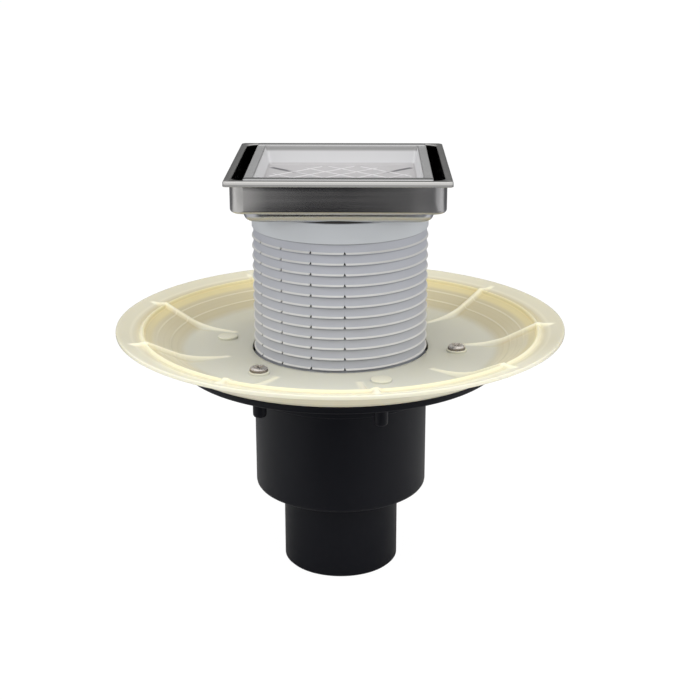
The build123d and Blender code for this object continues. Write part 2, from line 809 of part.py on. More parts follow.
# Floating bell: skirt dips into the cup's water, the chamber above the web holds air
with BuildPart() as float_bell:
    with BuildSketch(Plane.XZ):
        with BuildLine():
            Polyline(
                (bell_bore_r, bell_z),
                (bell_r, bell_z),
                (bell_r, cap_z),
                (bell_bore_r, cap_z),
                (bell_bore_r, web_z + bell_web),
                (stem_d / 2 + stem_fit, web_z + bell_web),
                (stem_d / 2 + stem_fit, web_z),
                (bell_bore_r, web_z),
                (bell_bore_r, bell_z),
            )
        make_face()
    revolve(axis=Axis.Z)
float_bell.part.label = "float_bell"
export_step(float_bell.part, "parts/float_bell.step")

# Cap welded into the bell's upper edge
with BuildPart() as float_cap:
    with BuildSketch(Plane.XZ):
        with BuildLine():
            Polyline(
                (0, cap_z),
                (bell_bore_r - cap_fit - bell_wall, cap_z),
                (bell_bore_r - cap_fit - bell_wall, cap_z - cap_spigot),
                (bell_bore_r - cap_fit, cap_z - cap_spigot),
                (bell_bore_r - cap_fit, cap_z),
                (bell_r, cap_z),
                (bell_r, cap_z + cap_thickness),
                (0, cap_z + cap_thickness),
                (0, cap_z),
            )
        make_face()
    revolve(axis=Axis.Z)
    fillet(float_cap.faces().sort_by(Axis.Z)[-1].edges(), cap_thickness / 2)
float_cap.part.label = "float_cap"
export_step(float_cap.part, "parts/float_cap.step")

# Rubber disc under the bell's web, which closes the standpipe when the water is gone
with BuildPart() as bell_seal:
    with BuildSketch(Plane.XY.offset(web_z - bell_seal_thickness)):
        Circle(pipe_r + bell_seal_lap)
        Circle(stem_d / 2 + stem_fit, mode=Mode.SUBTRACT)
    extrude(amount=bell_seal_thickness)
bell_seal.part.label = "bell_seal"
export_step(bell_seal.part, "parts/bell_seal.step")

# Guide stem: its flange holds the seal, and its tail slides in the spider's hub
stem_flange_z = web_z - bell_seal_thickness - stem_flange_height

with BuildPart() as guide_stem:
    with BuildSketch(Plane.XY.offset(hub_z - stem_tail)):
        Circle(stem_d / 2)
    extrude(amount=web_z + bell_web - hub_z + stem_tail)
    with BuildSketch(Plane.XY.offset(stem_flange_z)):
        Circle(stem_flange_d / 2)
    extrude(amount=stem_flange_height)
    chamfer(guide_stem.faces().sort_by(Axis.Z)[0].edges(), stem_d / 8)
guide_stem.part.label = "guide_stem"
export_step(guide_stem.part, "parts/guide_stem.step")

# Bridge: two legs on the cup's rim, a bar that stops the bell, and a finger loop
bridge_outer_x = cup_rim_r - bridge_inset
tongue_outer_x = math.sqrt((cup_bore_r - bridge_fit) ** 2 - (bridge_width / 2) ** 2)
tongue_inner_x = tongue_outer_x - bridge_tongue
foot_span = bridge_outer_x - tongue_inner_x

with BuildPart() as trap_bridge:
    with BuildSketch(Plane.XZ):
        with Locations((0, cup_top_z)):
            Rectangle(
                2 * bridge_outer_x,
                bridge_z + bridge_thickness - cup_top_z,
                align=(Align.CENTER, Align.MIN),
            )
            Rectangle(
                2 * (bridge_outer_x - bridge_leg),
                bridge_z - cup_top_z,
                align=(Align.CENTER, Align.MIN),
                mode=Mode.SUBTRACT,
            )
        with Locations((0, bridge_z)):
            Rectangle(handle_width, handle_height + bridge_thickness, align=(Align.CENTER, Align.MIN))
            with Locations((0, bridge_thickness)):
                Rectangle(
                    handle_width - 2 * handle_wall,
                    handle_height - handle_wall,
                    align=(Align.CENTER, Align.MIN),
                    mode=Mode.SUBTRACT,
                )
    extrude(amount=bridge_width / 2, both=True)
    loop_edges = trap_bridge.edges().filter_by(Axis.Y).group_by(Axis.Z)[-1]
    fillet(loop_edges, handle_fillet)
    with BuildSketch(Plane.XZ):
        with Locations(
            (bridge_outer_x - foot_span / 2, cup_top_z), (foot_span / 2 - bridge_outer_x, cup_top_z)
        ):
            Rectangle(foot_span, bridge_foot, align=(Align.CENTER, Align.MIN))
        with Locations(
            (tongue_outer_x - bridge_tongue / 2, cup_top_z),
            (bridge_tongue / 2 - tongue_outer_x, cup_top_z),
        ):
            Rectangle(bridge_tongue, bridge_tongue_length, align=(Align.CENTER, Align.MAX))
    extrude(amount=bridge_width / 2, both=True)
trap_bridge.part.label = "trap_bridge"
export_step(trap_bridge.part, "parts/trap_bridge.step")
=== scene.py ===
import math

import bmesh
import bpy
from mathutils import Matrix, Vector


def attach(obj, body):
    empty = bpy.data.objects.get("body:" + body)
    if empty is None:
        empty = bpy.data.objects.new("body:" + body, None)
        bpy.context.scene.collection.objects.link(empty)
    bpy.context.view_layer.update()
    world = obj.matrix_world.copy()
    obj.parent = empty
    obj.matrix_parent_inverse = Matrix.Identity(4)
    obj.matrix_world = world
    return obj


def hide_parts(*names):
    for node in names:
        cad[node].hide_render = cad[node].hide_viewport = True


# Floor drain dressed in Blender. Sizes are in millimetres here and become metres in the meshes.
MM = 0.001
TAU = 2 * math.pi

# Radius of a row that closes on its axis, where remove_doubles makes it one point
ON_AXIS = 1e-5

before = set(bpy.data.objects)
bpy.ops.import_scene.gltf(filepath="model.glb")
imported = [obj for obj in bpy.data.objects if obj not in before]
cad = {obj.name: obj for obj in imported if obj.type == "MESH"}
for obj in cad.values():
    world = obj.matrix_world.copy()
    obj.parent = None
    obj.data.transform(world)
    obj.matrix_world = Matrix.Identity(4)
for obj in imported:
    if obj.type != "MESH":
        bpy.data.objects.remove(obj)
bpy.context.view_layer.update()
scene = bpy.context.scene

# Trap body: outlet, pot, socket for the neck, disc and bosses
OUTLET_R = 25.0
OUTLET_BORE_R = 23.2
SHOULDER = 36.0
POT_R = 37.2
POT_BORE_R = 35.2
TRAP_SEAT_R = 30.2
TRAP_SEAT = 72.0
SOCKET_FOOT = 79.5
SOCKET_R = 40.0
SOCKET_BORE_R = 37.3
SOCKET_LEDGE = 81.7
DISC_R = 68.6
DISC_FOOT = 92.4
DISC_TOP = 95.4
BOSS_R = 2.8
BOSS_DROP = 12.7

# Bolt circle of the screws, their pads and their bosses
BOLT_R = 50.2
SCREW_ANGLE = math.radians(-10)
BOSS_COUNT = 6
SCREW_COUNT = 3
PAD_R = 4.3
PAD_TOP = 99.8
CROSS_REACH = 2.1
CROSS_HALF = 0.6
CROSS_DEPTH = 1.0
HEAD_TOP = 1.7
SCREW_COLUMNS = 64

# Clamping flange: floor, wall, ridge, lip and ribs
FLANGE_FOOT = 96.6
FLANGE_FLOOR = 98.8
HOLE_R = 37.6
WALL_FOOT_R = 67.0
WALL_SLOPE = 8.0 / 16.3
WALL_BEND = 2.2
ARC_RUN = 5.43
ARC_HEIGHT = 0.17
RIDGE_OUT_R = 85.3
LIP_FOOT = 107.1
LIP_SLOPE = 2.5 / 9.25
LIP_THICKNESS = 1.6
RIM_R = 95.15
RIM_TOP = 109.6
UNDER_EDGE_R = 71.5
UNDER_SLOPE = 0.61
UNDER_LEVEL = 52.98
HOLE_POINTS = 3
RIB_COUNT = 9
RIB_SPREAD = 14

# Neck: spigot with a seal groove, shingled fins with notches, and a collar
NECK_R = 37.0
ROOT_R = 36.15
NECK_BORE_R = 33.8
NECK_FOOT = 82.0
NECK_TOP = 160.2
SPIGOT_TOP = 94.0
GROOVE_FOOT = 84.45
GROOVE_TOP = 87.15
GROOVE_R = 34.85
COLLAR_FOOT = 151.9
COLLAR_BORE_R = 34.6
COLLAR_BORE_FOOT = 150.4
FIN_TOP = 148.35
FIN_PITCH = 4.393
FIN_COUNT = 13
FIN_HEIGHT = 0.75
FIN_LEDGE_R = NECK_R - 0.45
FIN_FIRST_FOOT = FIN_TOP - FIN_PITCH * (FIN_COUNT - 1) - FIN_HEIGHT
NOTCH_R = 35.6
NOTCH_COLUMNS = 4
NOTCH_STEP = 21.6
NOTCH_FIRST = -118.5 - 1.5 * NOTCH_STEP
NOTCH_HALF = 0.65
NOTCH_HEIGHT = 1.25
PARTING_HALF = 0.18
PARTING_RISE = 0.07
PLAIN_COLUMNS = 180
PLAIN_OFFSET = 9.0

# Steel frame: sheet, rim, bowl and step
SHEET = 0.9
RIM_HALF = 44.4
FRAME_TOP = 178.35
BOWL_HALF = 42.4
BOWL_CORNER = 6.0
BOWL_FLOOR = 166.6
BOWL_FOOT = 164.9
STEP_HALF = 37.95
STEP_FLOOR = 161.8
STEP_FOOT = 160.6
FRAME_HOLE = 34.7

# Tile tray: strips, recess, rolled beads, legs and the key of its floor
TRAY_TOP = 178.2
TRAY_FLOOR = 169.8
TRAY_UNDER = 169.0
TRAY_HALF_X = 37.0
RECESS_X = 33.2
RECESS_Y = 37.8
BEAD_R = 1.6
BEAD_Z = 177.4
BEAD_Y = 39.4
BEAD_COLUMNS = 28
LEG_FOOT = 168.8
LEG_HALF_X = 36.9
LEG_IN_Y = 40.2
LEG_OUT_Y = 41.0
LATTICE_R = 33.0
LATTICE_HALF_X = 30.3
LATTICE_PITCH = 9.5
LATTICE_SIDE_LINES = 3


# Node maths, which the finishes and the Geometry Nodes share
class Value:
    """A socket of a node tree, so that its maths reads as a plain expression."""

    def __init__(self, nodes, socket):
        self.nodes = nodes
        self.socket = socket

    def other(self, out):
        """Another output of the same node."""
        return Value(self.nodes, self.socket.node.outputs[out])

    def maths(self, operation, *values):
        return self.nodes.maths(operation, *values)

    def __add__(self, other):
        return self.maths("ADD", self, other)

    def __sub__(self, other):
        return self.maths("SUBTRACT", self, other)

    def __rsub__(self, other):
        return self.maths("SUBTRACT", other, self)

    def __mul__(self, other):
        return self.maths("MULTIPLY", self, other)

    def __truediv__(self, other):
        return self.maths("DIVIDE", self, other)

    def __pow__(self, other):
        return self.maths("POWER", self, other)

    def __abs__(self):
        return self.maths("ABSOLUTE", self)

    def __mod__(self, other):
        return self.maths("FLOORED_MODULO", self, other)

    def larger(self, other):
        return self.maths("MAXIMUM", self, other)

    def ramp(self, low, high):
        """0 at low, 1 at high, smooth between them."""
        settings = {"interpolation_type": "SMOOTHSTEP"}
        return self.nodes.node("ShaderNodeMapRange", settings, {"Value": self, "From Min": low, "From Max": high})

    def between(self, low, high, soft):
        """1 between low and high, falling to 0 over the soft distance outside them."""
        return self.ramp(low - soft, low) * (1.0 - self.ramp(high, high + soft))

    __radd__ = __add__
    __rmul__ = __mul__


class Nodes:
    """A node tree, with the one way its nodes are made."""

    def __init__(self, tree):
        self.tree = tree

    def feed(self, socket, value):
        if isinstance(value, Value):
            self.tree.links.new(value.socket, socket)
        else:
            socket.default_value = value

    def node(self, kind, settings=None, sockets=None, out=0):
        made = self.tree.nodes.new(kind)
        for key, value in (settings or {}).items():
            setattr(made, key, value)
        for key, value in (sockets or {}).items():
            self.feed(made.inputs[key], value)
        return Value(self, made.outputs[out])

    def maths(self, operation, *values):
        return self.node("ShaderNodeMath", {"operation": operation}, dict(enumerate(values)))

    def axes(self, vector):
        split = self.node("ShaderNodeSeparateXYZ", None, {0: vector})
        return split, split.other(1), split.other(2)

    def mix(self, share, first, second):
        settings = {"data_type": "RGBA"}
        return self.node("ShaderNodeMix", settings, {0: share, 6: first, 7: second}, out=2)


class Finish(Nodes):
    """One material: a principled shader with fixed values, and nodes that vary its colour and relief."""

    def __init__(self, name, **fixed):
        self.material = bpy.data.materials.new(name)
        self.material.use_nodes = True
        super().__init__(self.material.node_tree)
        self.shader = self.tree.nodes["Principled BSDF"]
        for socket, value in fixed.items():
            self.shader.inputs[socket.replace("_", " ")].default_value = value
        self.place = self.node("ShaderNodeTexCoord", out="Object")
        scaled = self.node("ShaderNodeVectorMath", {"operation": "SCALE"}, {0: self.place, "Scale": 1 / MM})
        self.x, self.y, self.z = self.axes(scaled)
        self.radius = (self.x * self.x + self.y * self.y) ** 0.5

    def stretched(self, along):
        """The place on the piece, scaled apart along each axis."""
        return self.node("ShaderNodeMapping", None, {"Vector": self.place, "Scale": along})

    def noise(self, scale, detail=3.0, place=None):
        sockets = {"Vector": place or self.place, "Scale": scale, "Detail": detail}
        return self.node("ShaderNodeTexNoise", None, sockets)

    def rings(self, scale, detail=2.0):
        """Noise that changes only with the distance from the pipe's axis."""
        settings = {"noise_dimensions": "1D"}
        return self.node("ShaderNodeTexNoise", settings, {"W": self.radius, "Scale": scale, "Detail": detail})

    def colour(self, value):
        self.paint = value
        self.feed(self.shader.inputs["Base Color"], value)

    def coat(self, share, over):
        """Lays a colour over the paint so far, as much as the share says."""
        self.colour(self.mix(share, self.paint, over))

    def rough(self, value):
        self.feed(self.shader.inputs["Roughness"], value)

    def metallic(self, value):
        self.feed(self.shader.inputs["Metallic"], value)

    def glow(self, value):
        self.feed(self.shader.inputs["Emission Color"], value)

    def relief(self, height, depth, strength=1.0):
        """Bump of a depth in millimetres."""
        sockets = {"Height": height, "Distance": depth * MM, "Strength": strength}
        self.feed(self.shader.inputs["Normal"], self.node("ShaderNodeBump", None, sockets))


def rgb(red, green, blue):
    return (red, green, blue, 1.0)


WHITE = rgb(1, 1, 1)
# Near-black colour of painted shade, in the frame's bowl and on the tray's hems
PAINTED_SHADE_DARK = rgb(0.02, 0.018, 0.016)


# Finishes, each worked out from the place on the piece in millimetres
def moulded_black():
    """Black polypropylene of the trap body: satin, with faint flow marks and a fine grain."""
    finish = Finish("body_black_plastic", Specular_IOR_Level=0.13)
    flow = finish.noise(14.0, 4.0, finish.stretched((1, 1, 0.35)))
    grain = finish.noise(2600.0, 2.0)
    finish.colour(finish.mix(flow, rgb(0.0035, 0.0038, 0.0058), rgb(0.0085, 0.009, 0.013)))
    finish.rough(0.36 + 0.14 * flow)
    finish.relief(grain + 6.0 * flow, 0.012)
    return finish


def moulded_cream():
    """Natural polypropylene of the clamping flange: greyish over the disc, yellower where it is thick, with painted
    light and shade: a lighter front, a darker far side, painted highlights on the arcs, crest, lip, ribs and pads,
    painted shade at the ridge's foot and beside the ribs, and a painted glow.
    """
    finish = Finish("flange_cream_plastic", Subsurface_Weight=0.25, Subsurface_Scale=0.004,
                    Subsurface_Radius=(1.0, 0.85, 0.5), Specular_IOR_Level=0.5, Emission_Strength=1.0)
    cloud = finish.noise(18.0, 3.0)
    turning = finish.rings(2.3, 3.0)
    streak = finish.rings(0.6, 4.0).ramp(0.35, 0.65)
    far = finish.y.ramp(-25.0, 25.0)
    near = 1.0 - finish.y.ramp(-62.0, -20.0)
    # Floor of the disc, painted lighter towards the front as painted light, then the yellower wall with its arcs,
    # painted darker on the far side as painted shade, with painted highlights on the arcs' steps
    finish.colour(finish.mix(cloud, rgb(0.60, 0.585, 0.475), rgb(0.655, 0.64, 0.53)))
    finish.coat(near * 0.8, rgb(0.74, 0.735, 0.635))
    yellow = finish.mix(0.4 * streak + 0.6 * cloud, rgb(0.67, 0.615, 0.44), rgb(0.75, 0.70, 0.51))
    wall = finish.mix(far * 0.70, yellow, rgb(0.53, 0.455, 0.265))
    arc = ((finish.radius - WALL_FOOT_R) % ARC_RUN).between(0.0, 0.4, 0.3) * finish.radius.between(71.0, 80.0, 0.5)
    wall = finish.mix(arc * (0.22 + 0.2 * far), wall, rgb(0.90, 0.86, 0.66))
    finish.coat(finish.radius.ramp(64.5, 70.5), wall)
    # Foot and crest of the ridge, then the lip and the under side: painted shade at the ridge's foot, more on the far
    # side; painted highlights on the crest and the lip, more at the front; and the under side painted lighter as
    # painted light
    foot = finish.radius.between(81.2, 83.2, 2.2)
    finish.coat(foot * (0.35 + 0.45 * far), rgb(0.76, 0.66, 0.34))
    crest = finish.radius.between(83.7, 85.2, 0.5)
    finish.coat(crest * (0.85 - 0.55 * far), rgb(0.94, 0.88, 0.63))
    rim = finish.mix(near, rgb(0.68, 0.645, 0.50), rgb(0.86, 0.825, 0.67))
    finish.coat(finish.radius.ramp(86.0, 89.0), rim)
    depth = finish.z - UNDER_SLOPE * finish.radius - UNDER_LEVEL
    under = (1.0 - depth.ramp(0.6, 1.2)) * (1.0 - finish.radius.ramp(87.0, 90.0))
    finish.coat(under, rgb(0.95, 0.885, 0.69))
    # Ribs, found by their turn around the axis, and pads: painted highlights on the rib crests and the pads, and
    # painted shade beside the ribs
    turn = finish.maths("ARCTAN2", finish.y, finish.x) * (RIB_COUNT / TAU) + (RIB_COUNT + 0.5)
    aside = abs(turn % 1.0 - 0.5) * finish.radius * (TAU / RIB_COUNT)
    on_lip = (finish.z - LIP_SLOPE * finish.radius).ramp(82.9, 83.5) * finish.radius.ramp(85.0, 86.0)
    above = depth.ramp(1.2, 1.8).larger(on_lip)
    rib = (1.0 - aside.ramp(0.6, 2.3)) * finish.radius.between(50.5, 90.0, 2.5) * above
    finish.coat(rib * 0.7, rgb(0.93, 0.89, 0.71))
    beside = aside.between(2.4, 3.0, 0.7) * finish.radius.between(62.0, 82.0, 4.0) * above
    finish.coat(beside * 0.25, rgb(0.55, 0.47, 0.26))
    pads = (1.0 - finish.radius.ramp(54.8, 55.2)) * finish.z.ramp(99.2, 99.7)
    finish.coat(pads * 0.8, rgb(0.84, 0.80, 0.62))
    # Painted glow: emission on the ridge's inner face and along the ribs, as painted light
    clear = (finish.radius.between(82.9, 83.7, 0.3) * above).larger(rib * 0.4)
    finish.glow(finish.mix(clear, rgb(0, 0, 0), rgb(0.08, 0.068, 0.034)))
    finish.rough(0.19 + 0.07 * cloud)
    finish.relief(turning * (0.25 + 0.75 * finish.radius.between(68.0, 83.0, 1.0)), 0.02)
    return finish


def moulded_grey():
    """Grey polypropylene of the neck: satin, with painted highlights on the lips, painted shadow in the notches, a
    painted shade under each fin and a collar painted lighter.
    """
    finish = Finish("neck_grey_plastic", Specular_IOR_Level=0.5)
    cloud = finish.noise(30.0, 3.0, finish.stretched((1, 1, 0.5)))
    grain = finish.noise(1800.0, 2.0)
    finish.colour(finish.mix(cloud, rgb(0.42, 0.435, 0.49), rgb(0.47, 0.485, 0.54)))
    # Collar painted lighter and bluer: painted light where the frame above shades it
    finish.coat(finish.z.ramp(COLLAR_FOOT - 0.2, COLLAR_FOOT) * 0.8, rgb(0.58, 0.61, 0.65))
    rise = (finish.z - FIN_FIRST_FOOT) % FIN_PITCH
    finned = finish.z.between(FIN_FIRST_FOOT, FIN_TOP + 3.3, 0.2)
    # Painted highlight on each fin's lip
    lip = rise.between(0.22, 0.80, 0.08) * finned
    finish.coat(lip * 0.65, rgb(0.70, 0.69, 0.65))
    shade = rise.ramp(FIN_PITCH - 0.9, FIN_PITCH - 0.1) * finned
    finish.coat(shade * 0.72, rgb(0.13, 0.14, 0.17))
    # Painted shadow: the notches painted near black
    notch = finish.radius.between(35.3, 36.0, 0.13) * finned
    finish.coat(notch, rgb(0.015, 0.015, 0.017))
    finish.rough(0.34 + 0.14 * cloud)
    finish.relief(grain + 4.0 * cloud, 0.012)
    return finish


def moulded_loose(name, low, high):
    """White or grey polypropylene of the trap's loose pieces."""
    finish = Finish(name, Subsurface_Weight=0.1, Subsurface_Scale=0.002)
    cloud = finish.noise(40.0, 3.0)
    grain = finish.noise(2200.0, 2.0)
    finish.colour(finish.mix(cloud, low, high))
    finish.rough(0.32 + 0.16 * cloud)
    finish.relief(grain, 0.01)
    return finish


def rubber():
    """Black rubber of the seals: matt, with a fine tooth."""
    finish = Finish("seal_black_rubber")
    tooth = finish.noise(3200.0, 3.0)
    finish.colour(finish.mix(tooth, rgb(0.012, 0.012, 0.012), rgb(0.035, 0.034, 0.033)))
    finish.rough(0.62 + 0.2 * tooth)
    finish.relief(tooth, 0.03)
    return finish


def sheet_steel(name, dull, bright, smooth):
    """Stainless sheet with a fine brush along X, before the shades of one piece."""
    finish = Finish(name, Metallic=1.0)
    brushed = finish.noise(230.0, 4.0, finish.stretched((0.05, 7.0, 7.0)))
    cloud = finish.noise(45.0, 3.0)
    finish.brushed = brushed
    finish.colour(finish.mix(0.6 * brushed + 0.4 * cloud, dull, bright))
    finish.rough(smooth + 0.08 * brushed + 0.06 * cloud)
    finish.relief(brushed, 0.003)
    return finish


def frame_metal():
    """Steel of the frame, with painted shade dark inside the bowl, under the rim and on the rim's top, a painted
    reflection on the bowl's outer face, the step painted darker and bluer against the flange's reflection, and a
    painted highlight along the rim.
    """
    finish = sheet_steel("frame_stainless", rgb(0.50, 0.49, 0.48), rgb(0.66, 0.65, 0.63), 0.12)
    # Distance outwards from the middles of the bowl's corners, which tells its inner face from its outer one
    past_x = (abs(finish.x) - (BOWL_HALF - BOWL_CORNER)).larger(0.0)
    past_y = (abs(finish.y) - (BOWL_HALF - BOWL_CORNER)).larger(0.0)
    reach = (past_x * past_x + past_y * past_y) ** 0.5
    outer = reach.ramp(5.2, 5.5)
    rim = reach.ramp(6.5, 7.0)
    left = (0.0 - finish.x).ramp(20.0, 38.0)
    right = finish.x.ramp(30.0, 38.0)
    # Painted reflection: the bowl's outer face darker, least towards the left corner and most towards the right
    outside = outer * finish.z.between(165.4, 176.0, 0.3)
    finish.coat(outside * (0.35 - 0.22 * left + 0.22 * right), rgb(0.22, 0.22, 0.24))
    # Painted shade under the rim, then a painted highlight along its rounded edge
    under_rim = rim * finish.z.between(176.0, 176.9, 0.3)
    finish.coat(under_rim * 0.6, rgb(0.22, 0.22, 0.22))
    shine = rim * finish.z.between(177.3, 178.05, 0.15)
    finish.coat(shine * 0.45, rgb(0.86, 0.85, 0.83))
    # Painted reflection: the rim's top painted dark, more on the front and back than on the sides
    side = (abs(finish.x) - abs(finish.y)).ramp(-1.0, 1.0)
    top = finish.z.ramp(FRAME_TOP - 0.2, FRAME_TOP - 0.05) * (0.85 - 0.6 * side)
    finish.coat(top, rgb(0.11, 0.105, 0.10))
    # Step painted darker and bluer, to tone down the flange's reflection in it: painted reflection
    step = 1.0 - finish.z.ramp(164.4, 165.0)
    finish.coat(step * 0.6, rgb(0.38, 0.40, 0.48))
    # Painted shade: the inside of the bowl painted near black
    bowl_shade = (1.0 - outer) * finish.z.between(166.3, 177.7, 0.2)
    finish.coat(bowl_shade * 0.93, PAINTED_SHADE_DARK)
    return finish


def tray_metal():
    """Steel of the tray: a paler matt floor, four pressed grooves, and painted light and shade: painted highlights on
    the key bars, painted shade in the grooves, along the beads and folds, and near black on the hems in the slots.
    """
    finish = sheet_steel("tray_stainless", rgb(0.60, 0.60, 0.60), rgb(0.74, 0.74, 0.74), 0.20)
    off_x = abs(finish.x)
    off_y = abs(finish.y)
    across = abs(off_x - off_y) / math.sqrt(2)
    along = (off_x + off_y) / math.sqrt(2)
    low = 1.0 - finish.z.ramp(170.3, 171.3)
    sheet = 1.0 - off_y.ramp(RECESS_Y - 0.05, RECESS_Y + 0.15)
    recess = (1.0 - off_x.ramp(RECESS_X - 0.05, RECESS_X + 0.2)) * sheet
    # Rolled beads, with a painted shade line above and below
    beyond = finish.z.ramp(TRAY_TOP + 0.2, TRAY_TOP + 0.4).larger(1.0 - finish.z.ramp(177.7, 178.0))
    bead = finish.mix(beyond, rgb(0.60, 0.60, 0.60), rgb(0.10, 0.10, 0.10))
    finish.coat((1.0 - sheet) * 0.9, bead)
    # Walls, shaded under the back bead, and a painted shade line at the folds along the strips
    finish.coat(recess * 0.9, rgb(0.80, 0.80, 0.81))
    shade = finish.z.ramp(175.5, 176.8) * finish.y.ramp(35.8, 36.4) * recess
    finish.coat(shade * 0.7, rgb(0.19, 0.185, 0.18))
    fold = off_x.between(RECESS_X + 0.05, RECESS_X + 0.3, 0.15) * finish.z.ramp(177.4, 177.8) * sheet
    finish.coat(fold * 0.6, rgb(0.20, 0.20, 0.20))
    # Floor, with painted highlights on its key bars and painted shade in its grooves
    finish.coat(low * recess * 0.9, rgb(0.50, 0.485, 0.49))
    middle = (1.0 - off_x.ramp(30.2, 30.6)) * (1.0 - off_y.ramp(34.0, 35.0))
    bars = finish.z.between(TRAY_FLOOR + 0.12, TRAY_FLOOR + 0.4, 0.05) * middle
    finish.coat(bars * 0.8, rgb(0.78, 0.77, 0.78))
    groove = (1.0 - across.ramp(0.8, 1.7)) * along.between(25.5, 42.5, 1.5) * low
    finish.coat(groove * along.ramp(24.0, 36.0) * 0.9, rgb(0.08, 0.08, 0.09))
    # Painted shade: the hems inside the slots painted near black
    hem = off_x.ramp(33.9, 34.2) * (1.0 - finish.z.ramp(177.7, 178.1)) * (1.0 - off_y.ramp(37.8, 38.2))
    finish.coat(hem * 0.95, PAINTED_SHADE_DARK)
    finish.rough(0.22 + 0.06 * finish.brushed + 0.26 * recess)
    finish.metallic(1.0 - 0.2 * sheet - 0.3 * recess)
    finish.relief(0.01 * finish.brushed - groove, 0.35)
    return finish


def screw_metal():
    """Bright stainless steel of the clamping screws, with painted shade in the cross recess and under the head's edge.
    """
    finish = Finish("screw_stainless", Metallic=1.0)
    turning = finish.noise(1500.0, 3.0)
    # Painted shade in the cross recess and under the head's edge
    recess_shade = 1.0 - finish.z.ramp(100.6, 101.1)
    finish.colour(finish.mix(turning, rgb(0.62, 0.57, 0.52), rgb(0.86, 0.81, 0.75)))
    finish.coat(recess_shade * 0.75, rgb(0.10, 0.075, 0.06))
    finish.rough(0.20 + 0.16 * turning)
    finish.relief(turning, 0.008)
    return finish


# Each finish is made once, and the pieces share it
black = moulded_black()
cream = moulded_cream()
grey = moulded_grey()
white = moulded_loose("trap_white_plastic", rgb(0.70, 0.71, 0.69), rgb(0.80, 0.80, 0.78))
fitting_grey = moulded_loose("fitting_grey_plastic", rgb(0.38, 0.41, 0.44), rgb(0.46, 0.49, 0.52))
seal = rubber()
frame_steel = frame_metal()
tray_steel = tray_metal()
screw_steel = screw_metal()

finishes = {
    "trap_body": black, "flange_gasket": seal, "clamp_flange": cream, "clamp_screws": screw_steel,
    "cup_seal": seal, "trap_cup": white, "standpipe": white, "trap_bridge": white, "neck_seal": seal, "neck": grey,
    "frame_pan": frame_steel, "pan_gasket": seal, "lock_ring": fitting_grey, "tile_tray": tray_steel,
    "tray_feet": fitting_grey, "hair_strainer": tray_steel, "strainer_knob": fitting_grey,
    "float_bell": white, "float_cap": white, "bell_seal": seal, "guide_stem": fitting_grey,
}
for node_name, finish in finishes.items():
    piece = cad[node_name]
    piece.data.materials.clear()
    piece.data.materials.append(finish.material)


# Meshes
def skin(name, rows, finish, closed=True, crease=35.0):
    """A skin over rows of points in millimetres, each row running once around the piece."""
    shape = bmesh.new()
    grid = [[shape.verts.new(Vector(point) * MM) for point in row] for row in rows]
    pairs = zip(grid, grid[1:] + grid[:1]) if closed else zip(grid, grid[1:])
    for lower, upper in pairs:
        for step in range(len(lower)):
            after = (step + 1) % len(lower)
            shape.faces.new((lower[step], lower[after], upper[after], upper[step]))
    bmesh.ops.remove_doubles(shape, verts=shape.verts, dist=1e-7)
    return finished(name, shape, finish, crease)


def finished(name, shape, finish, crease=35.0):
    """Turns a bmesh into an object, smooth but for edges sharper than the crease angle."""
    bmesh.ops.recalc_face_normals(shape, faces=shape.faces)
    limit = math.radians(crease)
    for edge in shape.edges:
        edge.smooth = len(edge.link_faces) == 2 and edge.calc_face_angle(0.0) < limit
    for face in shape.faces:
        face.smooth = True
    mesh = bpy.data.meshes.new(name)
    shape.to_mesh(mesh)
    shape.free()
    return placed(name, mesh, finish)


def placed(name, mesh, finish):
    """Puts a mesh in the scene under a name and with one finish."""
    mesh.materials.clear()
    mesh.materials.append(finish.material)
    piece = bpy.data.objects.new(name, mesh)
    scene.collection.objects.link(piece)
    return piece


def removed(piece):
    mesh = piece.data
    bpy.data.objects.remove(piece)
    bpy.data.meshes.remove(mesh)


def joined(name, pieces, finish):
    """Joins several objects into one mesh."""
    shape = bmesh.new()
    for piece in pieces:
        shape.from_mesh(piece.data)
    mesh = bpy.data.meshes.new(name)
    shape.to_mesh(mesh)
    shape.free()
    for piece in pieces:
        removed(piece)
    return placed(name, mesh, finish)


def rounded(corners, bends=4):
    """Replaces each corner (r, z, radius) of a closed outline by a small arc."""
    outline = []
    for index, (r, z, radius) in enumerate(corners):
        here = Vector((r, z))
        back = Vector(corners[index - 1][:2]) - here
        ahead = Vector(corners[(index + 1) % len(corners)][:2]) - here
        if radius <= 0:
            outline.append((r, z))
            continue
        half = back.angle(ahead) / 2
        reach = min(radius / math.tan(half), 0.49 * back.length, 0.49 * ahead.length)
        radius = reach * math.tan(half)
        middle = here + (back.normalized() + ahead.normalized()).normalized() * radius / math.sin(half)
        first = here + back.normalized() * reach - middle
        last = here + ahead.normalized() * reach - middle
        sweep = math.atan2(first.x * last.y - first.y * last.x, first.dot(last))
        for bend in range(bends + 1):
            turn = sweep * bend / bends
            outline.append((
                middle.x + first.x * math.cos(turn) - first.y * math.sin(turn),
                middle.y + first.x * math.sin(turn) + first.y * math.cos(turn),
            ))
    return outline


def around(columns):
    """Evenly spaced angles around a circle."""
    return [TAU * step / columns for step in range(columns)]


def lathe(name, outline, finish, columns=192, closed=True, crease=35.0):
    """Turns an outline of (r, z) around the upright axis; an open one starts and ends on the axis."""
    rows = [[(r * math.cos(turn), r * math.sin(turn), z) for turn in around(columns)] for r, z in outline]
    return skin(name, rows, finish, closed, crease)


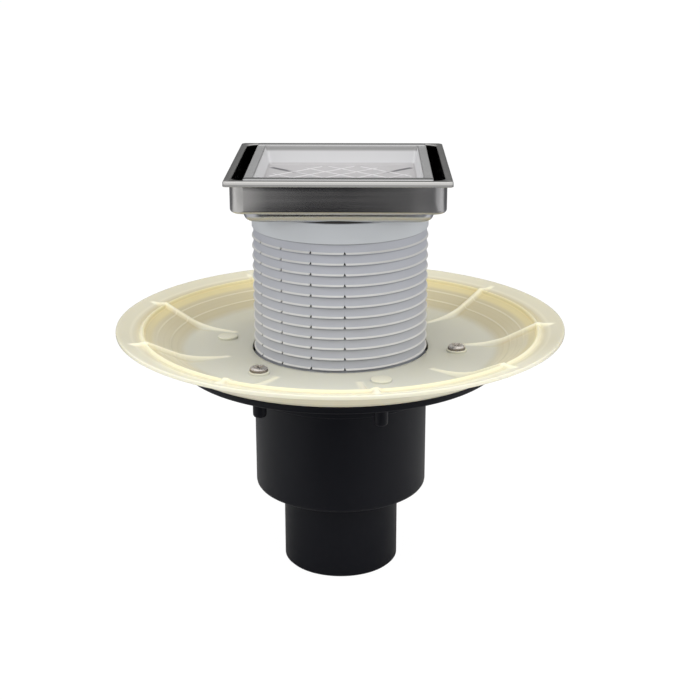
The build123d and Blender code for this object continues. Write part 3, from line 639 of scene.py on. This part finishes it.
def square_loop(half_x, half_y, corner, z, bends=10, side=8):
    """A level loop with round corners, always with the same number of points."""
    loop = []
    for quarter in range(4):
        cx = (half_x - corner) * (1, -1, -1, 1)[quarter]
        cy = (half_y - corner) * (1, 1, -1, -1)[quarter]
        for bend in range(bends + 1):
            turn = math.radians(90 * quarter + 90 * bend / bends)
            loop.append((cx + corner * math.cos(turn), cy + corner * math.sin(turn), z))
        nx = (half_x - corner) * (-1, -1, 1, 1)[quarter]
        ny = (half_y - corner) * (1, -1, -1, 1)[quarter]
        end_x, end_y = loop[-1][:2]
        start = math.radians(90 * (quarter + 1))
        goal_x = nx + corner * math.cos(start)
        goal_y = ny + corner * math.sin(start)
        for step in range(1, side):
            share = step / side
            loop.append((end_x + (goal_x - end_x) * share, end_y + (goal_y - end_y) * share, z))
    return loop


def arc_rows(half, corner, floor, bend, steps=6):
    """Rows that turn from an upright wall into a floor, from the wall inwards."""
    rows = []
    for step in range(steps + 1):
        turn = math.radians(90 * step / steps)
        inset = bend * (1 - math.cos(turn))
        rows.append((half - inset, half - inset, max(corner - inset, 0.6), floor + bend * (1 - math.sin(turn))))
    return rows


def between_points(table, at):
    """Straight-line value of a table of (place, value)."""
    for (a0, v0), (a1, v1) in zip(table, table[1:]):
        if a0 <= at <= a1:
            return v0 + (v1 - v0) * (at - a0) / (a1 - a0)
    return table[-1][1]


# Geometry Nodes: copies of one pattern on the points of a mesh
def repeat_group():
    """Node group with named inputs: the points, the pattern and the finish of the copies."""
    group = bpy.data.node_groups.new("repeat_piece", "GeometryNodeTree")
    group.interface.new_socket(name="Points", in_out="INPUT", socket_type="NodeSocketGeometry")
    group.interface.new_socket(name="Pattern", in_out="INPUT", socket_type="NodeSocketObject")
    group.interface.new_socket(name="Finish", in_out="INPUT", socket_type="NodeSocketMaterial")
    group.interface.new_socket(name="Pieces", in_out="OUTPUT", socket_type="NodeSocketGeometry")
    nodes = Nodes(group)
    given = nodes.node("NodeGroupInput", out="Points")
    pattern = nodes.node("GeometryNodeObjectInfo", None, {"Object": given.other("Pattern")}, out="Geometry")
    attribute = {"data_type": "FLOAT"}
    turn = nodes.node("GeometryNodeInputNamedAttribute", attribute, {"Name": "turn"}, out="Attribute")
    span = nodes.node("GeometryNodeInputNamedAttribute", attribute, {"Name": "span"}, out="Attribute")
    angles = nodes.node("ShaderNodeCombineXYZ", None, {"Z": turn})
    rotation = nodes.node("FunctionNodeEulerToRotation", None, {"Euler": angles})
    size = nodes.node("ShaderNodeCombineXYZ", None, {"X": span, "Y": 1.0, "Z": 1.0})
    copies = {"Points": given, "Instance": pattern, "Rotation": rotation, "Scale": size}
    instances = nodes.node("GeometryNodeInstanceOnPoints", None, copies)
    real = nodes.node("GeometryNodeRealizeInstances", None, {"Geometry": instances})
    painted = nodes.node("GeometryNodeSetMaterial", None, {"Geometry": real, "Material": given.other("Finish")})
    nodes.feed(group.nodes.new("NodeGroupOutput").inputs["Pieces"], painted)
    return group


repeat_piece = repeat_group()
repeat_inputs = {item.name: item.identifier for item in repeat_piece.interface.items_tree if item.in_out == "INPUT"}


def repeated(name, pattern, places, finish):
    """Copies a pattern to places (x, y, z, turn, span) as one plain mesh, and takes the pattern away."""
    points = bpy.data.meshes.new(name + "_points")
    points.from_pydata([Vector(place[:3]) * MM for place in places], [], [])
    turns = points.attributes.new("turn", "FLOAT", "POINT")
    spans = points.attributes.new("span", "FLOAT", "POINT")
    for index, place in enumerate(places):
        turns.data[index].value = place[3]
        spans.data[index].value = place[4]
    holder = bpy.data.objects.new(name + "_points", points)
    scene.collection.objects.link(holder)
    repeat = holder.modifiers.new("repeat", "NODES")
    repeat.node_group = repeat_piece
    repeat[repeat_inputs["Pattern"]] = pattern
    repeat[repeat_inputs["Finish"]] = finish.material
    ready = holder.evaluated_get(bpy.context.evaluated_depsgraph_get())
    mesh = bpy.data.meshes.new_from_object(ready)
    holder.modifiers.remove(repeat)
    removed(holder)
    removed(pattern)
    return placed(name, mesh, finish)


def bolt_places(count, z, twist=0.0):
    """Places on the bolt circle, each turned outwards and then by one more twist than the last."""
    places = []
    for index in range(count):
        angle = SCREW_ANGLE + TAU * index / count
        places.append((BOLT_R * math.cos(angle), BOLT_R * math.sin(angle), z, angle + twist * (index + 1), 1.0))
    return places


# Trap body: outlet, pot, socket and disc in one moulding, with six bosses
def make_body():
    outline = rounded([
        (OUTLET_BORE_R, 0.0, 0.2), (OUTLET_R - 1.0, 0.0, 0.1), (OUTLET_R, 1.0, 0.5), (OUTLET_R, SHOULDER, 0.8),
        (POT_R, SHOULDER, 2.0), (POT_R, SOCKET_FOOT, 0.5), (SOCKET_R, SOCKET_FOOT, 0.6), (SOCKET_R, DISC_FOOT, 1.0),
        (DISC_R, DISC_FOOT, 0.8), (DISC_R, DISC_TOP, 0.5), (SOCKET_BORE_R, DISC_TOP, 0.3),
        (SOCKET_BORE_R, SOCKET_LEDGE, 0.3), (POT_BORE_R, SOCKET_LEDGE, 0.3), (POT_BORE_R, TRAP_SEAT, 0.2),
        (TRAP_SEAT_R, TRAP_SEAT, 0.2), (TRAP_SEAT_R, TRAP_SEAT - 2.5, 0.2), (POT_BORE_R, TRAP_SEAT - 5.0, 0.4),
        (POT_BORE_R, SHOULDER + 3.6, 1.0), (OUTLET_BORE_R, SHOULDER + 2.2, 0.4),
    ])
    shell = lathe("body_turned", outline, black)
    boss_outline = rounded([
        (ON_AXIS, 0.0, 0), (BOSS_R, 0.0, 0), (BOSS_R, -BOSS_DROP, 1.9), (ON_AXIS, -BOSS_DROP, 0),
    ])
    boss = lathe("boss_pattern", boss_outline, black, columns=32, closed=False)
    bosses = repeated("body_bosses", boss, bolt_places(BOSS_COUNT, DISC_FOOT + 0.2), black)
    return joined("body_shell", [shell, bosses], black)


body_shell = make_body()


# Neck: shingled fins, each with small notches in its lower edge, and a smooth collar
def fin_outline(level, above):
    """The outer face of one band, from the fin's lower lip to the next fin's root."""
    foot = level - FIN_HEIGHT
    return [
        (NECK_R - 0.08, foot), (NECK_R, foot + 0.07), (NECK_R, foot + 0.2), (NECK_R - 0.04, foot + 0.3),
        (NECK_R - 0.22, foot + 0.52), (FIN_LEDGE_R + 0.05, level - 0.04), (FIN_LEDGE_R - 0.03, level + 0.1),
        (ROOT_R + 0.03, above - 0.3), (ROOT_R, above),
    ]


def cut_band(points, level):
    """The band's outline with everything under a level brought up to it."""
    for (r0, z0), (r1, z1) in zip(points, points[1:]):
        if z0 <= level <= z1:
            edge = r0 + (r1 - r0) * (level - z0) / max(z1 - z0, 1e-9)
            break
    return [(r, z) if z > level else (edge, level) for r, z in points]


def neck_columns():
    """Angles around the neck, each with its distance from the nearest notch column's middle."""
    middles = [NOTCH_FIRST + NOTCH_STEP * column + side for side in (0, 180) for column in range(NOTCH_COLUMNS)]
    columns = {}
    for middle in middles:
        for offset in (-NOTCH_HALF, -0.55, -0.36, -PARTING_HALF, 0.0, PARTING_HALF, 0.36, 0.55, NOTCH_HALF):
            angle = math.radians(middle) + offset / NECK_R
            columns[round(angle % TAU, 7)] = abs(offset)
    for angle in around(PLAIN_COLUMNS):
        gaps = [abs((angle - known + math.pi) % TAU - math.pi) for known in columns]
        if min(gaps) > 0.3 / NECK_R:
            columns[round(angle, 7)] = PLAIN_OFFSET
    return sorted(columns.items())


def make_neck():
    """Rows that run up the neck, one for each column around it."""
    spigot = [
        (NECK_R - 0.1, NECK_FOOT + 0.3), (NECK_R - 0.1, GROOVE_FOOT), (GROOVE_R, GROOVE_FOOT), (GROOVE_R, GROOVE_TOP),
        (NECK_R - 0.1, GROOVE_TOP), (NECK_R - 0.1, SPIGOT_TOP - 0.1), (NECK_R - 0.2, SPIGOT_TOP),
        (ROOT_R, SPIGOT_TOP),
    ]
    collar = [
        (ROOT_R, COLLAR_FOOT), (NECK_R - 0.12, COLLAR_FOOT), (NECK_R, COLLAR_FOOT + 0.12),
        (NECK_R, NECK_TOP - 0.3), (NECK_R - 0.3, NECK_TOP), (COLLAR_BORE_R, NECK_TOP),
        (COLLAR_BORE_R, COLLAR_BORE_FOOT), (NECK_BORE_R, COLLAR_BORE_FOOT),
        (NECK_BORE_R, NECK_FOOT + 0.3), (NECK_BORE_R + 0.3, NECK_FOOT),
        (NECK_R - 0.4, NECK_FOOT),
    ]
    levels = [FIN_TOP - FIN_PITCH * fin for fin in reversed(range(FIN_COUNT))]
    rows = []
    for angle, offset in neck_columns():
        outline = list(spigot)
        rise = max(0.0, 1.0 - offset / NOTCH_HALF) * NOTCH_HEIGHT
        for index, level in enumerate(levels):
            foot = level - FIN_HEIGHT
            above = levels[index + 1] - FIN_HEIGHT if index + 1 < FIN_COUNT else COLLAR_FOOT
            band = fin_outline(level, above)
            if rise > 0.0:
                outline += [(NOTCH_R, foot), (NOTCH_R, foot + rise)] + cut_band(band, foot + rise)
            else:
                outline += [(ROOT_R, foot), (ROOT_R, foot)] + band
        outline += collar
        if offset < PARTING_HALF / 2:
            outline = [(r + PARTING_RISE if 36.2 < r < 36.9 and 96 < z < 151 else r, z) for r, z in outline]
        rows.append([(r * math.cos(angle), r * math.sin(angle), z) for r, z in outline])
    return skin("neck_shell", rows, grey)


neck_shell = make_neck()


# Clamping flange: floor, round wall foot, faintly stepped wall, ridge and lip, with ribs that swell out of them.
# The tables give a rib's top and half width by radius, and its share of the height by the offset in half widths.
RIB_CREST = [
    (0.0, 0.0), (47.4, 98.5), (47.5, 98.78), (52.0, 99.1), (57.0, 99.5), (62.0, 100.05), (66.0, 100.95),
    (70.0, 102.1), (76.0, 105.0), (81.0, 107.5), (83.2, 108.6), (84.3, 108.95), (85.4, 108.9), (87.5, 108.65),
    (89.5, 108.75), (91.0, 108.75), (91.6, 108.6), (91.7, 0.0), (99.0, 0.0),
]
RIB_WIDTH = [
    (0.0, 0.5), (47.5, 0.5), (60.0, 0.8), (68.0, 1.0), (84.0, 1.0), (88.0, 0.9), (90.5, 0.7), (91.6, 0.4), (99.0, 0.4),
]
RIB_SHARE = [
    (0.0, 1.0), (0.35, 0.985), (0.7, 0.93), (1.0, 0.81), (1.25, 0.63), (1.5, 0.41), (1.8, 0.20), (2.3, 0.05),
    (3.0, 0.0), (99.0, 0.0),
]
RIB_SIDE = [0.35, 0.7, 1.0, 1.25, 1.5, 1.8, 2.3, 3.0]
RIB_OFFSETS = [-offset for offset in reversed(RIB_SIDE)] + [0.0] + RIB_SIDE


def wall_height(r):
    """The dish's upper face without its ribs: floor, round foot, and wall with two faint arcs."""
    if r <= WALL_FOOT_R - WALL_BEND:
        return FLANGE_FLOOR
    if r < WALL_FOOT_R + WALL_BEND:
        return FLANGE_FLOOR + WALL_SLOPE * (r - WALL_FOOT_R + WALL_BEND) ** 2 / (4 * WALL_BEND)
    line = FLANGE_FLOOR + WALL_SLOPE * (r - WALL_FOOT_R)
    arc = max(0, int((r - WALL_FOOT_R) / ARC_RUN))
    return line + ARC_HEIGHT * (1 - ((r - WALL_FOOT_R) / ARC_RUN - arc)) if arc else line


def flange_top():
    """The upper face from the hole to the rim."""
    points = [(HOLE_R, FLANGE_FLOOR - 0.3), (HOLE_R + 0.09, FLANGE_FLOOR - 0.09), (HOLE_R + 0.3, FLANGE_FLOOR)]
    radii = [40, 43, 46, 47.5, 49, 51, 53, 55, 57, 59, 61, 63, 64.8, 65.5, 66.2, 67, 67.8, 68.5, 69.2, 70.2, 71.4]
    for arc in (1, 2):
        foot = WALL_FOOT_R + ARC_RUN * arc
        radii += [foot - 0.35, foot - 0.01, foot + 0.3, foot + 0.8, foot + 2.2, foot + 3.8]
    points += [(r, wall_height(r)) for r in radii]
    points += [
        (82.7, 106.62), (83.1, 106.9), (83.35, 107.3), (83.52, 107.75), (83.75, 108.1), (84.05, 108.27),
        (84.35, 108.3), (84.65, 108.26), (84.95, 108.08), (85.2, 107.75), (85.4, 107.45), (85.75, 107.28),
        (86.3, 107.32),
    ]
    lip_radii = [87, 87.8, 88.7, 89.6, 90.3, 91, 91.6, 92.6, 93.6]
    points += [(r, LIP_FOOT + LIP_SLOPE * (r - RIDGE_OUT_R)) for r in lip_radii]
    points += [(94.45, RIM_TOP - 0.04), (94.8, RIM_TOP - 0.03), (95.06, RIM_TOP - 0.2), (RIM_R, RIM_TOP - 0.5)]
    return points


def flange_under():
    """The lower face from the rim back to the hole, with three fine steps."""
    rim_foot = RIM_TOP - LIP_THICKNESS
    points = [(RIM_R, rim_foot + 0.35), (95.05, rim_foot + 0.1), (94.8, rim_foot - 0.05)]
    knee_r, knee_z = RIDGE_OUT_R + LIP_THICKNESS / 2, LIP_FOOT - LIP_THICKNESS
    points += [(90.5, 106.7), (knee_r + 0.5, knee_z + 0.2), (knee_r, knee_z)]
    for share in (0.25, 0.5, 0.75):
        r = knee_r + (UNDER_EDGE_R - knee_r) * share
        z = knee_z + (FLANGE_FOOT - knee_z) * share
        points += [(r + 0.25, z + 0.02), (r + 0.12, z + 0.17), (r - 0.1, z + 0.05)]
    points += [(UNDER_EDGE_R + 0.3, FLANGE_FOOT + 0.12), (UNDER_EDGE_R - 0.3, FLANGE_FOOT)]
    points += [(HOLE_R + 0.2, FLANGE_FOOT), (HOLE_R, FLANGE_FOOT + 0.2)]
    return points


def make_flange():
    """Rows around the axis, from the hole out to the rim and back under, with a rib in each sector."""
    top = flange_top()
    under = flange_under()
    sector = TAU / RIB_COUNT
    rows = []
    for level, (r, z) in enumerate(top + under):
        crest = between_points(RIB_CREST, r) if HOLE_POINTS <= level < len(top) else 0.0
        swell = max(0.0, crest - z)
        width = between_points(RIB_WIDTH, r)
        row = []
        for rib in range(RIB_COUNT):
            middle = sector * rib
            for offset in RIB_OFFSETS:
                angle = middle + offset / r
                height = z + swell * between_points(RIB_SHARE, abs(offset) / width)
                row.append((r * math.cos(angle), r * math.sin(angle), height))
            start = middle + RIB_OFFSETS[-1] / r
            end = middle + sector + RIB_OFFSETS[0] / r
            for step in range(1, RIB_SPREAD):
                angle = start + (end - start) * step / RIB_SPREAD
                row.append((r * math.cos(angle), r * math.sin(angle), z))
        rows.append(row)
    dish = skin("flange_turned", rows, cream, crease=50.0)
    pad_outline = rounded([(ON_AXIS, -0.2, 0), (PAD_R, -0.2, 0), (PAD_R, 1.0, 0.3), (ON_AXIS, 1.0, 0)], bends=3)
    pad = lathe("pad_pattern", pad_outline, cream, columns=36, closed=False)
    pads = repeated("flange_pads", pad, bolt_places(BOSS_COUNT, FLANGE_FLOOR), cream)
    return joined("flange_dish", [dish, pads], cream)


flange_dish = make_flange()


# Clamping screws: pan head with a cross recess
def cross_depth(x, y):
    """Depth of the recess under the head's face at a place on it."""
    one_arm = max(abs(x) / CROSS_HALF, abs(y) / CROSS_REACH)
    other_arm = max(abs(y) / CROSS_HALF, abs(x) / CROSS_REACH)
    return CROSS_DEPTH if min(one_arm, other_arm) < 1.0 else 0.0


def make_screws():
    """Turned screw, with the recess pressed into the rows of its face."""
    face = [ON_AXIS, 0.3, 0.58, 0.64, 0.85, 1.2, 1.6, 1.95, 2.06, 2.14, 2.3, 2.55]
    edge = [(2.9, 1.66), (3.2, 1.52), (3.5, 1.28), (3.7, 0.95), (3.8, 0.55), (3.8, 0.15), (3.72, 0.0)]
    shank = [(1.95, 0.0), (1.95, -13.6), (1.55, -14.0), (ON_AXIS, -14.0)]
    rows = []
    for r, z in [(r, HEAD_TOP) for r in face] + edge + shank:
        row = []
        for turn in around(SCREW_COLUMNS):
            x = r * math.cos(turn)
            y = r * math.sin(turn)
            row.append((x, y, z - cross_depth(x, y) if z == HEAD_TOP else z))
        rows.append(row)
    screw = skin("screw_pattern", rows, screw_steel, closed=False, crease=40.0)
    return repeated("screw_set", screw, bolt_places(SCREW_COUNT, PAD_TOP, 0.9), screw_steel)


screw_set = make_screws()


# Steel frame: one sheet with a folded rim, a bowl and a step
def make_frame():
    """Level loops (half x, half y, corner, z) around the sheet's section."""
    bowl_in = BOWL_HALF - SHEET
    step_in = STEP_HALF - SHEET
    # Rim from its lower edge over the top to the bowl's inner wall
    outline = [
        (43.5, 43.5, 1.0, 176.15), (44.25, 44.25, 1.5, 176.15), (RIM_HALF, RIM_HALF, 1.6, 176.3),
        (RIM_HALF, 44.28, 1.6, 176.7), (RIM_HALF, 44.14, 1.6, 177.2), (RIM_HALF, 43.98, 1.55, 177.7),
        (44.33, 43.82, 1.5, 178.0), (44.1, 43.55, 1.45, 178.22), (43.7, 43.2, 1.4, 178.33),
        (42.0, 42.0, 5.3, FRAME_TOP), (41.75, 41.75, 5.2, 178.3), (41.56, 41.56, 5.1, 178.1),
        (bowl_in, bowl_in, 5.1, 177.8), (bowl_in, bowl_in, 5.1, 176.0), (bowl_in, bowl_in, 5.1, 172.0),
    ]
    outline += arc_rows(bowl_in, 5.1, BOWL_FLOOR, 0.7)
    # Step, down its inner face to the hole and back up its outer face
    outline += [(r, r, corner, z) for r, corner, z in [
        (step_in + 0.5, 6.3, BOWL_FLOOR), (step_in + 0.15, 6.15, 166.5), (step_in, 6.1, 166.2), (step_in, 6.1, 163.0),
        (step_in, 6.1, 162.0), (step_in - 0.2, 6.0, STEP_FLOOR), (34.9, 34.9, STEP_FLOOR),
        (FRAME_HOLE, FRAME_HOLE, 161.6), (FRAME_HOLE, FRAME_HOLE, 160.8), (34.9, 34.9, STEP_FOOT),
        (35.6, 6.0, STEP_FOOT), (36.2, 6.3, 160.75), (36.65, 6.5, 161.05), (37.0, 6.7, 161.5), (37.3, 6.8, 162.1),
        (37.6, 6.9, 162.9), (37.85, 7.0, 163.8), (STEP_HALF, 7.0, 164.6), (38.2, 7.1, 164.85),
        (38.5, 7.3, BOWL_FOOT), (39.4, 6.8, BOWL_FOOT),
    ]]
    # Outer face of the bowl, up to the rim
    outline += list(reversed(arc_rows(BOWL_HALF, BOWL_CORNER, BOWL_FOOT, 1.5)))
    outline += [(BOWL_HALF, BOWL_HALF, BOWL_CORNER, z) for z in (170.0, 174.0, 177.2)]
    outline += [(42.55, 42.5, 5.0, 177.35), (42.8, 42.6, 1.0, 177.4), (43.4, 42.9, 0.9, 177.3)]
    rows = [square_loop(half_x, half_y, corner, z) for half_x, half_y, corner, z in outline]
    return skin("frame_sheet", rows, frame_steel, crease=40.0)


frame_sheet = make_frame()


# Tile tray: a tub with sloping walls between flat strips and rolled beads
def make_tub():
    """Level loops from the middle of the floor up the walls, out over the strips and back underneath."""
    wall = [
        (0.0, 1.5, 177.85), (0.35, 1.5, 176.1), (1.1, 1.5, 171.1), (1.4, 1.45, 170.3), (1.8, 1.3, 169.93),
        (2.4, 1.0, TRAY_FLOOR),
    ]
    outline = [(ON_AXIS, ON_AXIS, ON_AXIS, TRAY_FLOOR), (2.0, 2.0, 0.5, TRAY_FLOOR)]
    outline += [(RECESS_X - inset, RECESS_Y - inset, corner, z) for inset, corner, z in reversed(wall)]
    # Strips and their hems, then the underside
    outline += [
        (33.4, 37.95, 1.6, 178.12), (33.65, 38.1, 1.8, TRAY_TOP), (36.4, 38.9, 0.3, TRAY_TOP),
        (36.7, 39.2, 0.4, 178.18), (36.93, BEAD_Y, 0.45, 178.0), (TRAY_HALF_X, BEAD_Y, 0.5, 177.7),
        (TRAY_HALF_X, BEAD_Y, 0.5, 175.35), (36.9, 39.4, 0.4, 175.2), (36.3, 39.3, 0.3, 175.2),
        (36.2, 39.0, 0.3, 175.3), (36.2, 38.9, 0.3, 177.4), (34.3, 38.7, 2.0, 177.4), (33.9, 38.5, 2.3, 177.2),
        (32.6, 37.2, 2.3, 169.6), (31.8, 36.4, 1.6, TRAY_UNDER),
        (2.0, 2.0, 0.5, TRAY_UNDER), (ON_AXIS, ON_AXIS, ON_AXIS, TRAY_UNDER),
    ]
    rows = [square_loop(half_x, half_y, corner, z) for half_x, half_y, corner, z in outline]
    return skin("tray_tub", rows, tray_steel, closed=False, crease=30.0)


def make_bead(side):
    """Rolled edge along X, with round ends."""
    ends = [(ON_AXIS, 0.0), (0.7, 0.03), (1.15, 0.25), (1.42, 0.55), (1.56, 0.95), (BEAD_R, 1.5)]
    stations = [(r, inset - TRAY_HALF_X) for r, inset in ends]
    stations += [(r, TRAY_HALF_X - inset) for r, inset in reversed(ends)]
    rows = []
    for r, x in stations:
        turns = around(BEAD_COLUMNS)
        rows.append([(x, side * BEAD_Y + r * math.cos(turn), BEAD_Z + r * math.sin(turn)) for turn in turns])
    return skin("tray_bead", rows, tray_steel, closed=False, crease=50.0)


def make_leg(side):
    """Folded leg under a bead, standing in the feet."""
    inner, outer = side * LEG_IN_Y, side * LEG_OUT_Y
    outline = [(inner, LEG_FOOT), (inner, BEAD_Z), (outer, BEAD_Z), (outer, LEG_FOOT)]
    shape = bmesh.new()
    ends = [[shape.verts.new(Vector((x, y, z)) * MM) for y, z in outline] for x in (-LEG_HALF_X, LEG_HALF_X)]
    for step in range(4):
        after = (step + 1) % 4
        shape.faces.new((ends[0][step], ends[0][after], ends[1][after], ends[1][step]))
    shape.faces.new(ends[0])
    shape.faces.new(ends[1])
    return finished("tray_leg", shape, tray_steel)


def lattice_places():
    """Bars along both diagonals, cut to a circle and to the tray's floor."""
    half = math.sqrt(0.5)
    places = []
    for turn in (1, -1):
        for line in range(-LATTICE_SIDE_LINES, LATTICE_SIDE_LINES + 1):
            offset = line * LATTICE_PITCH
            chord = math.sqrt(LATTICE_R ** 2 - offset ** 2)
            low = max(-chord, (-LATTICE_HALF_X + turn * offset * half) / half)
            high = min(chord, (LATTICE_HALF_X + turn * offset * half) / half)
            middle = (low + high) / 2
            x = middle * half - turn * offset * half
            y = turn * middle * half + offset * half
            places.append((x, y, TRAY_FLOOR, turn * math.radians(45), high - low))
    return places


def make_lattice():
    """Key bars of the floor: one bar a millimetre long, stretched to each place's span."""
    section = [(-0.45, -0.1), (-0.43, 0.05), (-0.25, 0.27), (0.0, 0.35), (0.25, 0.27), (0.43, 0.05), (0.45, -0.1)]
    rows = []
    for x, share in ((-0.5, ON_AXIS), (-0.499, 0.6), (-0.49, 1.0), (0.49, 1.0), (0.499, 0.6), (0.5, ON_AXIS)):
        rows.append([(x, y * share, z * share) for y, z in section])
    pattern = skin("lattice_pattern", rows, tray_steel, closed=False, crease=60.0)
    return repeated("tray_lattice", pattern, lattice_places(), tray_steel)


def make_tray():
    pieces = [make_tub(), make_bead(1), make_bead(-1), make_leg(1), make_leg(-1), make_lattice()]
    return joined("tray_folded", pieces, tray_steel)


tray_folded = make_tray()

# Camera, light and floor, in metres
FLOOR_HALF = 12

camera_data = bpy.data.cameras.new("camera")
camera_data.sensor_width = 36.0
camera_data.lens = 70.86
camera = bpy.data.objects.new("camera", camera_data)
camera.location = (0.01124, -0.56486, 0.28156)
camera.rotation_euler = (math.radians(71.83), math.radians(0.01), math.radians(0.72))
scene.collection.objects.link(camera)
scene.camera = camera


def lamp(name, place, width, height, power):
    """A soft lamp that looks at the middle of the drain."""
    data = bpy.data.lights.new(name, "AREA")
    data.shape = "RECTANGLE"
    data.size = width
    data.size_y = height
    data.energy = power
    made = bpy.data.objects.new(name, data)
    made.location = place
    made.rotation_euler = (Vector((0, 0, 0.1)) - Vector(place)).to_track_quat("-Z", "Y").to_euler()
    made.visible_glossy = False
    scene.collection.objects.link(made)


# Place, width, height and power in watts
lamp("lamp_top", (0.0, -0.12, 1.0), 0.9, 0.7, 5.0)
lamp("lamp_left", (-0.85, -0.25, 0.45), 0.35, 0.8, 1.9)
lamp("lamp_right", (0.85, -0.25, 0.45), 0.35, 0.8, 1.9)


def make_floor():
    """Pale floor: white for the camera; for reflections, dark in front of the drain and dim behind it."""
    mesh = bpy.data.meshes.new("studio_floor")
    corners = [(x * FLOOR_HALF, y * FLOOR_HALF, 0) for x, y in ((-1, -1), (1, -1), (1, 1), (-1, 1))]
    mesh.from_pydata(corners, [], [(0, 1, 2, 3)])
    material = bpy.data.materials.new("studio_floor_paint")
    material.use_nodes = True
    nodes = Nodes(material.node_tree)
    nodes.tree.nodes.remove(nodes.tree.nodes["Principled BSDF"])
    camera_ray = nodes.node("ShaderNodeLightPath", out="Is Camera Ray")
    glossy_ray = camera_ray.other("Is Glossy Ray")
    x, y, z = nodes.axes(nodes.node("ShaderNodeTexCoord", out="Object"))
    front = (0.0 - y).ramp(0.05, 0.13) * x.between(-0.04, 0.34, 0.15) * (1.0 - 0.35 * x.ramp(0.0, 0.08)) * glossy_ray
    back = y.ramp(-0.02, 0.25) * glossy_ray
    lit = nodes.mix(x.ramp(-0.3, 0.3), rgb(0.74, 0.74, 0.74), rgb(0.86, 0.86, 0.86))
    dimmed = nodes.mix(back * 0.8, lit, rgb(0.10, 0.10, 0.11))
    colour = nodes.mix(front, dimmed, rgb(0.012, 0.012, 0.016))
    paint = nodes.node("ShaderNodeBsdfDiffuse", None, {"Color": colour})
    pale = nodes.node("ShaderNodeBsdfDiffuse", None, {"Color": rgb(0.9, 0.9, 0.9)})
    glow = nodes.node("ShaderNodeEmission", None, {"Color": WHITE, "Strength": 1.05})
    backdrop = nodes.node("ShaderNodeMixShader", None, {0: 0.93, 1: pale, 2: glow})
    shown = nodes.node("ShaderNodeMixShader", None, {0: camera_ray, 1: paint, 2: backdrop})
    nodes.feed(nodes.tree.nodes["Material Output"].inputs["Surface"], shown)
    mesh.materials.append(material)
    floor = bpy.data.objects.new("studio_floor", mesh)
    scene.collection.objects.link(floor)


def make_studio():
    """White for the camera; for the object a pale room, brighter in front and dimmer low at the back."""
    studio = bpy.data.worlds.new("studio")
    studio.use_nodes = True
    room = Nodes(studio.node_tree)
    camera_ray = room.node("ShaderNodeLightPath", out="Is Camera Ray")
    glossy_ray = camera_ray.other("Is Glossy Ray")
    clear_ray = camera_ray.other("Is Transmission Ray")
    x, y, z = room.axes(room.node("ShaderNodeTexCoord"))
    front = (0.0 - y).ramp(-0.2, 0.8)
    back_low = y.ramp(0.3, 0.8) * (1.0 - z.ramp(0.40, 0.75))
    ahead_low = (0.0 - y).ramp(0.35, 0.75) * (1.0 - z.ramp(0.04, 0.20)) * (1.0 - abs(x - 0.1).ramp(0.2, 0.5))
    horizon = y.ramp(0.0, 0.5) * (1.0 - z.ramp(0.20, 0.28))
    shine = (0.80 - 0.32 * back_low + 0.35 * z.ramp(0.75, 0.95)) * (1.0 - 0.85 * ahead_low) * (1.0 - 0.65 * horizon)
    fill = 0.50 + 0.32 * front
    strength = glossy_ray * shine + (1.0 - glossy_ray) * fill
    plain = room.node("ShaderNodeBackground", None, {"Color": WHITE, "Strength": strength})
    white_out = room.node("ShaderNodeBackground", None, {"Color": WHITE, "Strength": 1.0})
    shown = room.node("ShaderNodeMixShader", None, {0: camera_ray.larger(clear_ray), 1: plain, 2: white_out})
    room.feed(room.tree.nodes["World Output"].inputs["Surface"], shown)
    scene.world = studio


make_floor()
make_studio()
scene.view_settings.view_transform = "Standard"

# Which body each piece rides on, and which CAD piece it stands for
dressed = [
    (body_shell, "drain_body", "trap_body", "black_plastic"),
    (flange_dish, "drain_body", "clamp_flange", "cream_plastic"),
    (screw_set, "drain_body", "clamp_screws", "screw_steel"),
    (neck_shell, "neck_and_frame", "neck", "grey_plastic"),
    (frame_sheet, "neck_and_frame", "frame_pan", "frame_steel"),
    (tray_folded, "neck_and_frame", "tile_tray", "tray_steel"),
]
for piece, body, node_name, slot in dressed:
    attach(piece, body)
    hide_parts(node_name)
